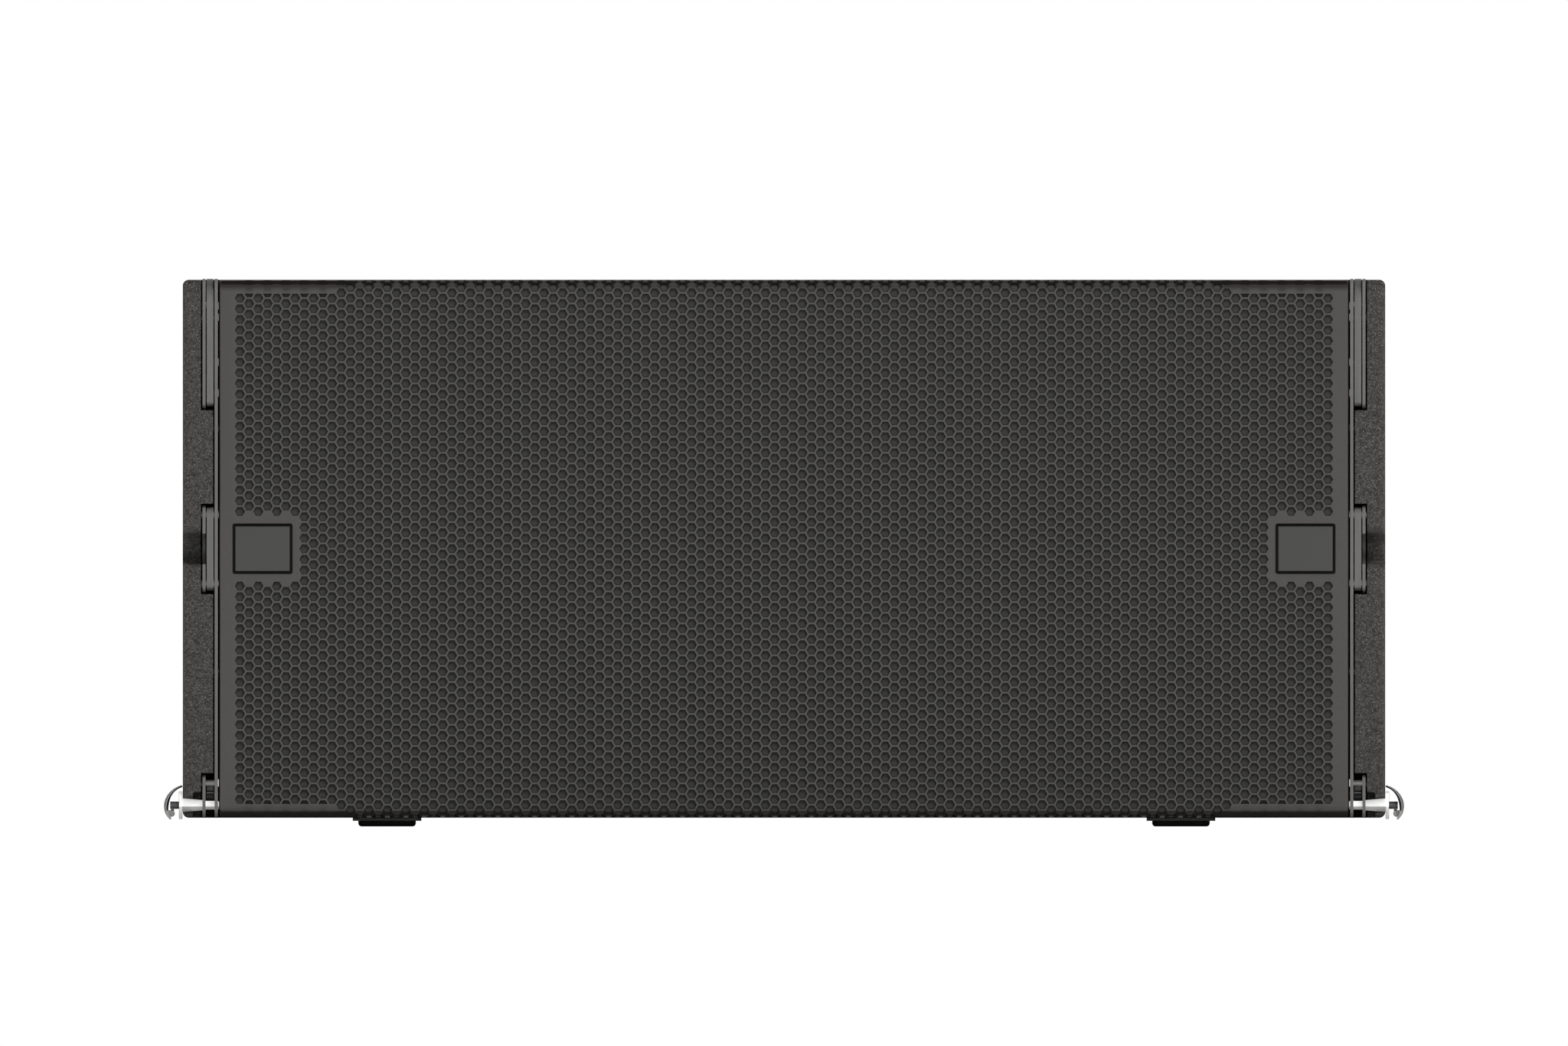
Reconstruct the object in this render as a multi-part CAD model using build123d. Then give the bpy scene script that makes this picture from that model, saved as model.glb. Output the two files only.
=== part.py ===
"""Line array speaker: one flown two-way element with front and rear rigging.

Own frame while building: X to the right, Y from the front face to the rear,
Z up, with X = 0 in the middle, Y = 0 at the front face of the cabinet and
Z = 0 at its bottom face.  At the end the whole is stood on its feet and
centred.  All sizes are in millimetres.
"""
from build123d import *
from math import atan2, ceil, cos, degrees, pi, radians, sin, sqrt, tan
import os

# ---------------------------------------------------------------- cabinet
CABINET_WIDTH = 705.0
CABINET_HEIGHT = 315.4
CABINET_DEPTH = 420.0
TOP_SLOPE = 7.0             # degrees that the top panel falls behind its level part
TOP_LEVEL_BEYOND = 2.2      # level part of the top behind the rigging plates
CHEEK_THICKNESS = 17.8      # side panels
PANEL_THICKNESS = 15.0      # top, bottom and back panels
EDGE_RADIUS = 3.6           # rounding of the cabinet's long edges

# ---------------------------------------------------------------- grille
GRILLE_SHEET = 1.5
GRILLE_BEND = 5.0           # outside radius of the bends
GRILLE_FLANGE = 24.0        # how far its top and bottom flanges reach back
GRILLE_RETURN = 9.0         # how far its side returns reach back
GRILLE_GAP = 0.9            # air between grille edge and inner plate
FLANGE_GAP = 0.4            # air under the grille's flanges
FOAM_THICKNESS = 5.0
FOAM_EDGE_GAP = 1.0
GRILLE_SCREW_RADIUS = 1.75
GRILLE_SCREW_HEAD_RADIUS = 3.2
GRILLE_SCREW_LENGTH = 9.0   # in the bottom panel
GRILLE_SCREW_INSET = 6.0    # from the flange's rear edge
GRILLE_SCREWS = 6

# ---------------------------------------------------------------- badges
BADGE_WIDTH = 35.2
BADGE_HEIGHT = 29.6
BADGE_FRAME_DEPTH = 1.8
BADGE_FRAME_RIM = 1.6
BADGE_FACE_PROUD = 0.5
BADGE_EDGE_GAP = 7.7        # badge's outer edge from the grille's edge
BADGE_RADIUS = 1.5

# ---------------------------------------------------------------- front rigging
OUTER_PLATE = 1.8           # thickness of the outer plates
INNER_PLATE = 1.9
LINK_THICKNESS = 4.0
PLATE_GAP = 0.65            # air each side of the link and of the block
POCKET_AIR = 0.9            # air between a pocket's wall and its plate
PLATE_RECESS = 1.0          # plates' front edges behind the front face
PLATE_PROUD = 0.5           # plates' ends beyond the top face
INNER_PLATE_DEPTH = 76.0
OUTER_PLATE_DEPTH = 52.0
PLATE_END_GAP = 0.8         # between a plate's end and its pocket's end
PLATE_CORNER = 4.0          # rounding of the plates' front corners
UPPER_POCKET = 76.5         # length down from the top face at the front
MIDDLE_POCKET = 53.0        # height of the middle pocket
PARKED_DROP = 0.1           # parked pin below mid-height
LOWER_POCKET = 26.2         # length up from the bottom face
BLOCK_END_GAP = 1.9         # block to the middle pocket's end
BLOCK_DEPTH = 34.0
RIVET_RADIUS = 1.55
RIVET_HEAD_RADIUS = 2.1
RIVET_HEAD = 0.6
RIVET_COLLAR_RADIUS = 2.4
RIVET_SETBACK = 4.0         # front rivets of the block behind the plates' edges
SCREW_RADIUS = 1.75
SCREW_HEAD_RADIUS = 2.35
SCREW_HEAD = 0.7
SCREW_DEPTH = 12.0          # length in the cheek
UPPER_SCREW_DROP = 86.9     # upper plate screws below the top face
LOWER_SCREW_RISE = 86.2     # lower plate screws above the bottom face
SCREW_DEPTHS = (20.0, 60.0)

# ---------------------------------------------------------------- front link
LINK_WIDTH = 24.0
LINK_TRAVEL = 24.9
LINK_FOOT_GAP = 1.4         # link's lower end above its plate's end
SLOT_AIR = 0.1              # slot against its guide pin
GUIDE_DROP = 22.0           # guide pin of the link's slot below the top face
LINK_RIVET_DROP = 48.4      # rivet just behind the link below the top face
LINK_RIVET_RISE = 33.0      # upper rivet above it
LINK_RIVET_FALL = 18.0      # lower rivet below it
RIVET_ROW_SPACING = 12.0    # rear row of rivets behind the front one
LINK_CORNER = 4.0

# ---------------------------------------------------------------- release pins
PIN_HEIGHT = 7.4            # pin axis above the bottom face
PIN_SETBACK = 13.0          # pin axis behind the front face
SHANK_RADIUS = 2.525
BORE_AIR = 0.06             # running clearance round pins and pivots
CONE_SMALL_RADIUS = 3.0
CONE_LARGE_RADIUS = 4.0
PIN_FLANGE_RADIUS = 8.2
PIN_FLANGE = 2.1
PIN_FLANGE_AIR = 0.1        # flange clear of the side face
SPINDLE_RADIUS = 2.2
SPINDLE_LENGTH = 5.15
PIN_TIP_CHAMFER = 0.6
LEVER_PIVOT_OUT = 6.5       # pivot beyond the side face
LEVER_PIVOT_DROP = 4.9      # pivot below the pin axis
LEVER_LUG_RADIUS = 1.5
LEVER_LUG_WIDTH = 3.0
LEVER_EAR_WIDTH = 1.4
LEVER_EAR_RADIUS = 1.9
LEVER_AIR = 0.1
LEVER_WIDTH = 13.0
LEVER_PIVOT_RADIUS = 0.8
LEVER_OUTER = ((0.25, 11.8), (5.3, 9.6), (9.0, 5.8), (10.9, 0.8), (10.2, -4.6), (7.3, -8.6))
LEVER_INNER = ((0.25, 10.5), (4.2, 8.4), (6.9, 4.8), (8.15, 0.2), (8.2, -4.4), (6.5, -7.7))
SCOOP_WIDTH = 18.0          # finger scoop round the parked pin
SCOOP_FLARE = 4.5           # rounding of its mouth
CONE_SLOT_AIR = 0.5         # slot round the pin's cone
RELIEF_WIDTH = 4.8          # relief in the cheek beside the lower plate, round the pin
RELIEF_HEIGHT = 15.0
RELIEF_DEPTH = 22.0
RELIEF_CORNER = 1.6

STOP_RIVET_HEIGHT = 20.45   # rivet across the lower bracket
STOP_SETBACK = 28.2         # grooved stop behind the lower pin, from the front face
STOP_DEPTH = 20.0
STOP_LOW = 9.0
STOP_HIGH = 18.7
STOP_GROOVES = ((15.2, 16.0), (12.0, 14.2))
STOP_GROOVE = 2.5           # depth of its grooves

# ---------------------------------------------------------------- feet
FOOT_INSET = 119.8          # foot's middle in from the side face
FOOT_SETBACK = 62.0         # front feet behind the front face
FOOT_REAR_SETBACK = 55.0    # rear feet before the back face
FOOT_PLATE_WIDTH = 40.3
FOOT_PLATE_LENGTH = 66.0
FOOT_PLATE = 1.8
FOOT_PAD_WIDTH = 33.8
FOOT_PAD_LENGTH = 58.0
FOOT_PAD = 3.3
FOOT_PAD_RADIUS = 2.0

# ---------------------------------------------------------------- baffle and drivers
BAFFLE_SETBACK = 22.0
BAFFLE_THICKNESS = 18.0
WOOFER_EDGE_GAP = 10.1      # woofer's flange to the floor and the ceiling
WOOFER_SIDE_GAP = 3.0       # woofer's flange to the baffle's end
WOOFER_HORN_GAP = 6.0       # woofer's flange to the horn's flange
WOOFER_FLANGE = 5.0
WOOFER_SEAT = 13.5          # flange beyond its cutout
WOOFER_RIM = 10.5           # cutout beyond the cone's edge
WOOFER_RING = 12.0          # clamped edge beyond the cone
WOOFER_SURROUND = 9.0       # half-roll radius
CONE_SHEET = 1.6
CONE_DEPTH = 52.0
DUST_CAP_RADIUS = 34.0
BASKET_DEPTH = 82.0
BASKET_WALL = 3.0
BASKET_REAR_RADIUS = 62.0
BASKET_WINDOWS = 6
MAGNET_RADIUS = 72.0
MAGNET_LENGTH = 34.0
MAGNET_VENT_RADIUS = 14.0
WOOFER_SCREW_INSET = 6.5    # screws in from the flange's edge
WOOFER_SCREWS = 8
DRIVER_SCREW_RADIUS = 2.5
DRIVER_SCREW_HEAD_RADIUS = 4.4
DRIVER_SCREW_HEAD = 2.6
DRIVER_SCREW_LENGTH = 16.0
HORN_FLANGE_WIDTH = 124.0
HORN_EDGE_GAP = 7.2         # horn's flange to the floor and the ceiling
HORN_LIP = 8.0              # flange beyond the mouth
HORN_FLANGE = 5.0
HORN_WALL = 3.5
HORN_LENGTH = 78.0
HORN_THROAT_WIDTH = 16.0
HORN_THROAT_DROP = 11.0     # throat's ends inside the mouth's
HORN_BODY_LENGTH = 34.0
HORN_BODY_WIDTH = 46.0
TWEETER_CENTRE = 58.0       # each compression driver from the horn's middle
TWEETER_RADIUS = 45.0
TWEETER_LENGTH = 48.0
TWEETER_THROAT_RADIUS = 18.0
PORT_RADIUS = 17.0
PORT_WALL = 2.5
PORT_LENGTH = 110.0
PORT_FLARE = 6.0
PORT_LIP = 3.0              # port's flange beyond its tube
PORT_HORN_GAP = 1.5         # port's flange to the horn's flange
PORT_EDGE_GAP = 12.7        # port's flange to the floor and the ceiling
BRACE_THICKNESS = 12.0
BRACE_GAP = 5.0             # brace to the compression drivers
BRACE_CORNER = 16.0
BRACE_LENGTH = 250.0
BRACE_RIM = 28.0

# ---------------------------------------------------------------- amplifier
AMP_PANEL_WIDTH = 344.0
AMP_PANEL_HEIGHT = 200.0
AMP_PANEL = 3.0
AMP_PANEL_RADIUS = 8.0
AMP_LIP = 16.0              # panel beyond its opening all round
CHASSIS_DEPTH = 78.0
CHASSIS_SHEET = 2.0
CHASSIS_AIR = 2.0           # chassis inside its opening
HEATSINK_EDGE_GAP = 14.0    # from the panel's edge
HEATSINK_CONTROL_GAP = 26.0 # to the column of sockets
HEATSINK_HEIGHT = 168.0
HEATSINK_BASE = 4.0
HEATSINK_FIN = 17.0
HEATSINK_FIN_THICKNESS = 2.4
HEATSINK_FINS = 15
CONTROL_INSET = 68.0        # middle of the sockets' column in from the panel's edge
SOCKET_SPACING_X = 54.0
SOCKET_SPACING_Z = 36.0
SOCKET_LOW = -66.0          # lowest row, from the panel's middle
SOCKET_FLANGE_WIDTH = 26.0
SOCKET_FLANGE_HEIGHT = 31.0
SOCKET_FLANGE = 1.8
SOCKET_BARREL_RADIUS = 11.6
SOCKET_BARREL_AIR = 0.2
SOCKET_DEPTH = 24.0
DISPLAY_WIDTH = 74.0
DISPLAY_HEIGHT = 38.0
DISPLAY_DEPTH = 2.4
DISPLAY_HEIGHT_UP = 64.0    # display centre above the panel's middle
KNOB_RADIUS = 10.0
KNOB_LENGTH = 14.0
KNOB_HEIGHT_UP = 31.0
KNOB_SHAFT_RADIUS = 3.0
KNOB_AIR = 0.6
KNOB_FLUTES = 18
PANEL_SCREW_INSET = 8.0
PANEL_SCREW_RADIUS = 2.0
PANEL_SCREW_LENGTH = 11.0   # in the back panel
PANEL_SCREW_HEAD_RADIUS = 3.8
PANEL_SCREW_HEAD = 2.2
BOARD_THICKNESS = 2.0
BOARD_SIDE_GAP = 15.0       # board to the chassis' walls
BOARD_END_GAP = 12.0
TRANSFORMER_RADIUS = 42.0
TRANSFORMER_HEIGHT = 32.0
TRANSFORMER_RISE = 6.0
COOLER_WIDTH = 60.0
COOLER_LENGTH = 100.0
COOLER_HEIGHT = 18.0
CAPACITOR_RADIUS = 11.0
CAPACITOR_HEIGHT = 36.0
CAPACITOR_SPACING = 30.0

# ---------------------------------------------------------------- rear rigging
REAR_BRACKET_INSET = 60.5   # bracket's middle in from the side face
REAR_BRACKET_WIDTH = 56.0
REAR_BRACKET_PLATE = 3.0
REAR_BRACKET_END_GAP = 5.0  # bracket's ends inside the back face
REAR_EAR = 3.0              # thickness of the bracket's two ears
REAR_EAR_REACH = 34.0
REAR_EAR_CORNER = 14.0
REAR_WAIST_DEPTH = 12.0     # how much narrower the ears are in the middle
REAR_WAIST_GAP = 2.9        # waist above the last angle hole
REAR_WAIST_DROP = 66.9      # waist below the pivot
REAR_LINK_THICKNESS = 6.0
REAR_LINK_AIR = 0.5
REAR_LINK_WIDTH = 24.0
REAR_LINK_LENGTH = 78.0     # pivot to eye
REAR_PIVOT_DROP = 20.0      # pivot below the bracket's upper end
REAR_PIVOT_RADIUS = 4.0
REAR_EYE_RADIUS = 4.1
REAR_PIN_RADIUS = 4.0
REAR_PIN_RISE = 16.0        # pin above the bracket's lower end
REAR_PIN_HEAD_RADIUS = 9.0
REAR_PIN_HEAD = 3.0
REAR_PIN_TAIL = 6.0         # tip beyond the far ear
REAR_PIN_GRIP = 22.0
ANGLE_HOLES = 5
ANGLE_HOLE_RADIUS = 4.1
ANGLE_HOLE_SPACING = 13.0
REAR_SCREW_RADIUS = 3.0
REAR_SCREW_HEAD_RADIUS = 5.4
REAR_SCREW_HEAD = 3.0
REAR_SCREW_LENGTH = 12.0

# ---------------------------------------------------------------- handles
HANDLE_SETBACK = 250.0      # handle centre behind the front face
HANDLE_HEIGHT = 150.0       # handle centre above the bottom face
HANDLE_LENGTH = 138.0
HANDLE_OPENING = 78.0
HANDLE_FLANGE = 3.0
HANDLE_RIM = 12.0           # flange beyond the opening
HANDLE_DEPTH = 58.0
HANDLE_WALL = 3.0
HANDLE_RADIUS = 24.0
HANDLE_DRAFT = 8.0

# ---------------------------------------------------------------- worked out
HALF_WIDTH = CABINET_WIDTH / 2
INNER_HALF = HALF_WIDTH - CHEEK_THICKNESS
MIDDLE = CABINET_HEIGHT / 2
# stations across the front rigging, measured from the middle of the speaker
INNER_OUTSIDE = HALF_WIDTH - CHEEK_THICKNESS - POCKET_AIR
INNER_INSIDE = INNER_OUTSIDE - INNER_PLATE
LINK_INSIDE = INNER_OUTSIDE + PLATE_GAP
LINK_OUTSIDE = LINK_INSIDE + LINK_THICKNESS
OUTER_INSIDE = LINK_OUTSIDE + PLATE_GAP
OUTER_OUTSIDE = OUTER_INSIDE + OUTER_PLATE
POCKET_WALL = OUTER_OUTSIDE + POCKET_AIR
GRILLE_HALF = INNER_INSIDE - GRILLE_GAP
BADGE_CENTRE = GRILLE_HALF - BADGE_EDGE_GAP - BADGE_WIDTH / 2
FOOT_CENTRE = HALF_WIDTH - FOOT_INSET
REAR_BRACKET_CENTRE = HALF_WIDTH - REAR_BRACKET_INSET
# heights of the front rigging
PARKED_HEIGHT = MIDDLE - PARKED_DROP
MIDDLE_POCKET_LOW = PARKED_HEIGHT - MIDDLE_POCKET / 2
MIDDLE_POCKET_HIGH = PARKED_HEIGHT + MIDDLE_POCKET / 2
GUIDE_HEIGHT = CABINET_HEIGHT - GUIDE_DROP
LINK_RIVET_HEIGHT = CABINET_HEIGHT - LINK_RIVET_DROP
SCREW_HEIGHTS = (CABINET_HEIGHT - UPPER_SCREW_DROP, LOWER_SCREW_RISE)


TOP_LEVEL = PLATE_RECESS + INNER_PLATE_DEPTH + PLATE_END_GAP + TOP_LEVEL_BEYOND
CEILING_LEVEL = TOP_LEVEL - PANEL_THICKNESS * tan(radians(TOP_SLOPE / 2))


def top_at(y):
    """Height of the cabinet's top face at the distance y from the front."""
    return CABINET_HEIGHT - max(0.0, y - TOP_LEVEL) * tan(radians(TOP_SLOPE))


def ceiling_at(y):
    """Height of the top panel's underside."""
    fall = max(0.0, y - CEILING_LEVEL) * tan(radians(TOP_SLOPE))
    return CABINET_HEIGHT - PANEL_THICKNESS - fall


BAFFLE_REAR = BAFFLE_SETBACK + BAFFLE_THICKNESS
BAFFLE_MIDDLE = (PANEL_THICKNESS + ceiling_at(BAFFLE_REAR)) / 2
BAFFLE_HALF = (ceiling_at(BAFFLE_REAR) - PANEL_THICKNESS) / 2
# the horn takes the height between floor and ceiling
HORN_FLANGE_HEIGHT = 2 * (BAFFLE_HALF - HORN_EDGE_GAP)
HORN_MOUTH_HEIGHT = HORN_FLANGE_HEIGHT - 2 * HORN_LIP
HORN_MOUTH_WIDTH = HORN_FLANGE_WIDTH - 2 * HORN_LIP
HORN_THROAT_HEIGHT = HORN_MOUTH_HEIGHT - 2 * HORN_THROAT_DROP
# each woofer takes the room between the horn, the side, the floor and the ceiling
WOOFER_ROOM = GRILLE_HALF - WOOFER_SIDE_GAP - HORN_FLANGE_WIDTH / 2 - WOOFER_HORN_GAP
WOOFER_RADIUS = min(WOOFER_ROOM / 2, BAFFLE_HALF - WOOFER_EDGE_GAP)
WOOFER_CENTRE = GRILLE_HALF - WOOFER_SIDE_GAP - WOOFER_RADIUS
WOOFER_CUTOUT = WOOFER_RADIUS - WOOFER_SEAT
WOOFER_CONE_RADIUS = WOOFER_CUTOUT - WOOFER_RIM
WOOFER_SCREW_CIRCLE = WOOFER_RADIUS - WOOFER_SCREW_INSET
PORT_OUTSIDE = PORT_RADIUS + PORT_WALL + PORT_LIP
PORT_CENTRE = HORN_FLANGE_WIDTH / 2 + PORT_HORN_GAP + PORT_OUTSIDE
PORT_HEIGHT = BAFFLE_HALF - PORT_OUTSIDE - PORT_EDGE_GAP
BRACE_CENTRE = TWEETER_RADIUS + BRACE_GAP + BRACE_THICKNESS / 2
REAR_HEIGHT = top_at(CABINET_DEPTH)
AMP_MIDDLE = REAR_HEIGHT / 2
CONTROL_CENTRE = AMP_PANEL_WIDTH / 2 - CONTROL_INSET
CONTROL_EDGE = CONTROL_CENTRE - (SOCKET_SPACING_X + SOCKET_FLANGE_WIDTH) / 2
HEATSINK_LEFT = HEATSINK_EDGE_GAP - AMP_PANEL_WIDTH / 2
HEATSINK_WIDTH = CONTROL_EDGE - HEATSINK_CONTROL_GAP - HEATSINK_LEFT
HEATSINK_CENTRE = HEATSINK_LEFT + HEATSINK_WIDTH / 2


# ---------------------------------------------------------------- shapes
def along_x(points, x0, x1):
    """Straight solid with a Y-Z outline, from station x0 to x1."""
    face = Plane.YZ.offset(x0) * Polygon(*points, align=None)
    return extrude(face, amount=x1 - x0, dir=(1, 0, 0))


def across(sketch, x0, x1):
    """A Y-Z sketch drawn round its own origin, as a solid from x0 to x1."""
    return extrude(Plane.YZ.offset(x0) * sketch, amount=x1 - x0, dir=(1, 0, 0))


def rearward(sketch, y0, y1):
    """An X-Z sketch, as a solid from the depth y0 to y1."""
    plane = Plane(origin=(0, y0, 0), x_dir=(1, 0, 0), z_dir=(0, -1, 0))
    return extrude(plane * sketch, amount=y1 - y0, dir=(0, 1, 0))


def upward(sketch, z0, z1):
    """An X-Y sketch, as a solid from the height z0 to z1."""
    return extrude(Plane.XY.offset(z0) * sketch, amount=z1 - z0, dir=(0, 0, 1))


def block(x0, x1, y0, y1, z0, z1):
    """A box between two corners."""
    middle = ((x0 + x1) / 2, (y0 + y1) / 2, (z0 + z1) / 2)
    return Pos(*middle) * Box(abs(x1 - x0), abs(y1 - y0), abs(z1 - z0))


def rod_x(x0, x1, y, z, radius, end_radius=None):
    """A rod or a cone along X from x0 to x1."""
    length = x1 - x0
    if end_radius is None:
        shape = Cylinder(radius, length)
    else:
        shape = Cone(radius, end_radius, length)
    return Pos((x0 + x1) / 2, y, z) * Rot(0, 90, 0) * shape


def rod_y(x, y0, y1, z, radius):
    """A rod along Y from y0 to y1."""
    return Pos(x, (y0 + y1) / 2, z) * Rot(90, 0, 0) * Cylinder(radius, y1 - y0)


def turned_y(points, x, y, z):
    """A solid of revolution about an axis along Y; points are (radius, depth)."""
    face = Plane.XY * Polygon(*points, align=None)
    return Pos(x, y, z) * revolve(face, axis=Axis.Y)


def fused(shapes):
    """One solid from several that touch or overlap."""
    total = shapes[0]
    for shape in shapes[1:]:
        total = total + shape
    return total


def cut(shape, tools):
    """Shape with every tool taken away."""
    for tool in tools:
        shape = shape - tool
    return shape


def to_left(shape):
    """The left-hand twin of a right-hand piece."""
    return mirror(shape, about=Plane.YZ)


# ---------------------------------------------------------------- front rigging
def rounded_front(points, front, x0, x1):
    """A plate with a Y-Z outline whose two front corners are rounded."""
    outline = Polygon(*points, align=None)
    corners = [vertex for vertex in outline.vertices() if vertex.X < front + 0.1]
    return across(fillet(corners, radius=PLATE_CORNER), x0, x1)


def open_slot(x0, x1, width, setback, z):
    """A slot along X, open at the front face and round at its rear end."""
    back = Pos(setback, z) * Circle(width / 2)
    mouth = Pos((setback - 1) / 2, z) * Rectangle(setback + 1, width)
    return across(back + mouth, x0, x1)


def finger_scoop(x0, x1):
    """The slot round the parked pin, with its mouth rounded out at the front face."""
    half = SCOOP_WIDTH / 2
    wide = half + SCOOP_FLARE
    mouth = Rectangle(SCOOP_FLARE, 2 * wide, align=(Align.MIN, Align.CENTER))
    for sign in (-1, 1):
        mouth -= Pos(SCOOP_FLARE, sign * wide) * Circle(SCOOP_FLARE)
    mouth += Rectangle(1, 2 * wide, align=(Align.MAX, Align.CENTER))
    slot = open_slot(x0, x1, SCOOP_WIDTH, PIN_SETBACK, PARKED_HEIGHT)
    return slot + across(Pos(0, PARKED_HEIGHT) * mouth, x0, x1)


def rigging_cuts():
    """What the right-hand rigging takes out of the cabinet."""
    depth = INNER_PLATE_DEPTH + PLATE_RECESS + PLATE_END_GAP
    pocket_depth = OUTER_PLATE_DEPTH + PLATE_RECESS + PLATE_END_GAP
    low = -1.0
    high = CABINET_HEIGHT + 1.0
    tools = [block(GRILLE_HALF, INNER_HALF, -1, depth, low, high)]
    pockets = ((CABINET_HEIGHT - UPPER_POCKET, high), (MIDDLE_POCKET_LOW, MIDDLE_POCKET_HIGH),
               (low, LOWER_POCKET))
    for pocket_low, pocket_high in pockets:
        tools.append(block(INNER_OUTSIDE, POCKET_WALL, -1, pocket_depth, pocket_low, pocket_high))
    tools.append(finger_scoop(POCKET_WALL - 1, HALF_WIDTH + 1))
    cone_slot = 2 * (CONE_LARGE_RADIUS + CONE_SLOT_AIR)
    tools.append(open_slot(POCKET_WALL - 1, HALF_WIDTH + 1, cone_slot, PIN_SETBACK, PIN_HEIGHT))
    relief = Pos(POCKET_WALL + RELIEF_WIDTH / 2 - 1, RELIEF_HEIGHT / 2 - 1) * RectangleRounded(
        RELIEF_WIDTH + 2, RELIEF_HEIGHT + 2, RELIEF_CORNER)
    tools.append(rearward(relief, -1, RELIEF_DEPTH))
    for height in SCREW_HEIGHTS:
        for depth in SCREW_DEPTHS:
            tools.append(rod_x(INNER_HALF - 1, INNER_HALF + SCREW_DEPTH, depth, height, SCREW_RADIUS))
    return tools


def upper_rivets():
    """Places (depth, height) of the rivets behind the link."""
    behind = PLATE_RECESS + LINK_WIDTH + RIVET_COLLAR_RADIUS + 0.4
    rear = behind + RIVET_ROW_SPACING
    return [(behind, LINK_RIVET_HEIGHT), (rear, LINK_RIVET_HEIGHT + LINK_RIVET_RISE),
            (rear, LINK_RIVET_HEIGHT - LINK_RIVET_FALL)]


def middle_rivets():
    """Places of the rivets through the parking block."""
    front = PLATE_RECESS + RIVET_SETBACK
    high = MIDDLE_POCKET_HIGH - 6.5
    low = MIDDLE_POCKET_LOW + 6.2
    return [(front, high), (front, low), (BLOCK_DEPTH - 5, high), (BLOCK_DEPTH - 5, low)]


def lower_rivets():
    """Places of the rivets across the lower bracket."""
    return [(PIN_SETBACK, STOP_RIVET_HEIGHT), (STOP_SETBACK + STOP_DEPTH / 2, (STOP_LOW + STOP_HIGH) / 2)]


def inner_plate():
    """Full-height plate beside the grille."""
    front = PLATE_RECESS
    rear = PLATE_RECESS + INNER_PLATE_DEPTH
    points = [(front, PLATE_PROUD), (rear, PLATE_PROUD),
              (rear, top_at(rear) + PLATE_PROUD), (front, top_at(front) + PLATE_PROUD)]
    plate = rounded_front(points, front, INNER_INSIDE, INNER_OUTSIDE)
    window = Pos((SCREW_DEPTHS[0] + SCREW_DEPTHS[1]) / 2, 0) * RectangleRounded(20, 20, 6)
    tools = [rod_x(INNER_INSIDE - 1, INNER_OUTSIDE + 1, PIN_SETBACK, z, SHANK_RADIUS + BORE_AIR)
             for z in (PIN_HEIGHT, PARKED_HEIGHT)]
    for y, z in upper_rivets() + middle_rivets() + lower_rivets() + [(PIN_SETBACK, GUIDE_HEIGHT)]:
        tools.append(rod_x(INNER_INSIDE - 1, INNER_OUTSIDE + 1, y, z, RIVET_RADIUS))
    for z in SCREW_HEIGHTS:
        for y in SCREW_DEPTHS:
            tools.append(rod_x(INNER_INSIDE - 1, INNER_OUTSIDE + 1, y, z, SCREW_RADIUS))
    for z in (SCREW_HEIGHTS[0] - 21, SCREW_HEIGHTS[1] + 21):
        tools.append(across(Pos(0, z) * window, INNER_INSIDE - 1, INNER_OUTSIDE + 1))
    return cut(plate, tools)


def outer_plate(low, high, places, slots, sloped=False):
    """A short plate in a cheek pocket, between two heights."""
    front = PLATE_RECESS
    rear = PLATE_RECESS + OUTER_PLATE_DEPTH
    tops = (high, high)
    if sloped:
        tops = (top_at(rear) + PLATE_PROUD, top_at(front) + PLATE_PROUD)
    points = [(front, low), (rear, low), (rear, tops[0]), (front, tops[1])]
    plate = rounded_front(points, front, OUTER_INSIDE, OUTER_OUTSIDE)
    tools = list(slots)
    for y, z in places:
        tools.append(rod_x(OUTER_INSIDE - 1, OUTER_OUTSIDE + 1, y, z, RIVET_RADIUS))
    return cut(plate, tools)


def upper_outer_plate():
    low = CABINET_HEIGHT - UPPER_POCKET + PLATE_END_GAP
    places = upper_rivets() + [(PIN_SETBACK, GUIDE_HEIGHT)]
    return outer_plate(low, 0, places, [], sloped=True)


def middle_outer_plate():
    """Plate over the parking block, scooped for a finger round the parked pin."""
    scoop = open_slot(OUTER_INSIDE - 1, OUTER_OUTSIDE + 1, SCOOP_WIDTH, PIN_SETBACK, PARKED_HEIGHT)
    return outer_plate(MIDDLE_POCKET_LOW + PLATE_END_GAP, MIDDLE_POCKET_HIGH - PLATE_END_GAP,
                       middle_rivets(), [scoop])


def lower_outer_plate():
    bore = rod_x(OUTER_INSIDE - 1, OUTER_OUTSIDE + 1, PIN_SETBACK, PIN_HEIGHT, SHANK_RADIUS + BORE_AIR)
    return outer_plate(PLATE_PROUD, LOWER_POCKET - PLATE_END_GAP, lower_rivets(), [bore])


def parking_block():
    """Riveted block between the plates, bored to store a pin."""
    low = MIDDLE_POCKET_LOW + BLOCK_END_GAP
    high = MIDDLE_POCKET_HIGH - BLOCK_END_GAP
    centre = (PLATE_RECESS + BLOCK_DEPTH / 2, (low + high) / 2)
    outline = Pos(*centre) * RectangleRounded(BLOCK_DEPTH, high - low, LINK_CORNER)
    block_solid = across(outline, LINK_INSIDE, LINK_OUTSIDE)
    tools = [rod_x(LINK_INSIDE - 1, LINK_OUTSIDE + 1, PIN_SETBACK, PARKED_HEIGHT, SHANK_RADIUS + BORE_AIR)]
    for y, z in middle_rivets():
        tools.append(rod_x(LINK_INSIDE - 1, LINK_OUTSIDE + 1, y, z, RIVET_RADIUS))
    return cut(block_solid, tools)


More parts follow.
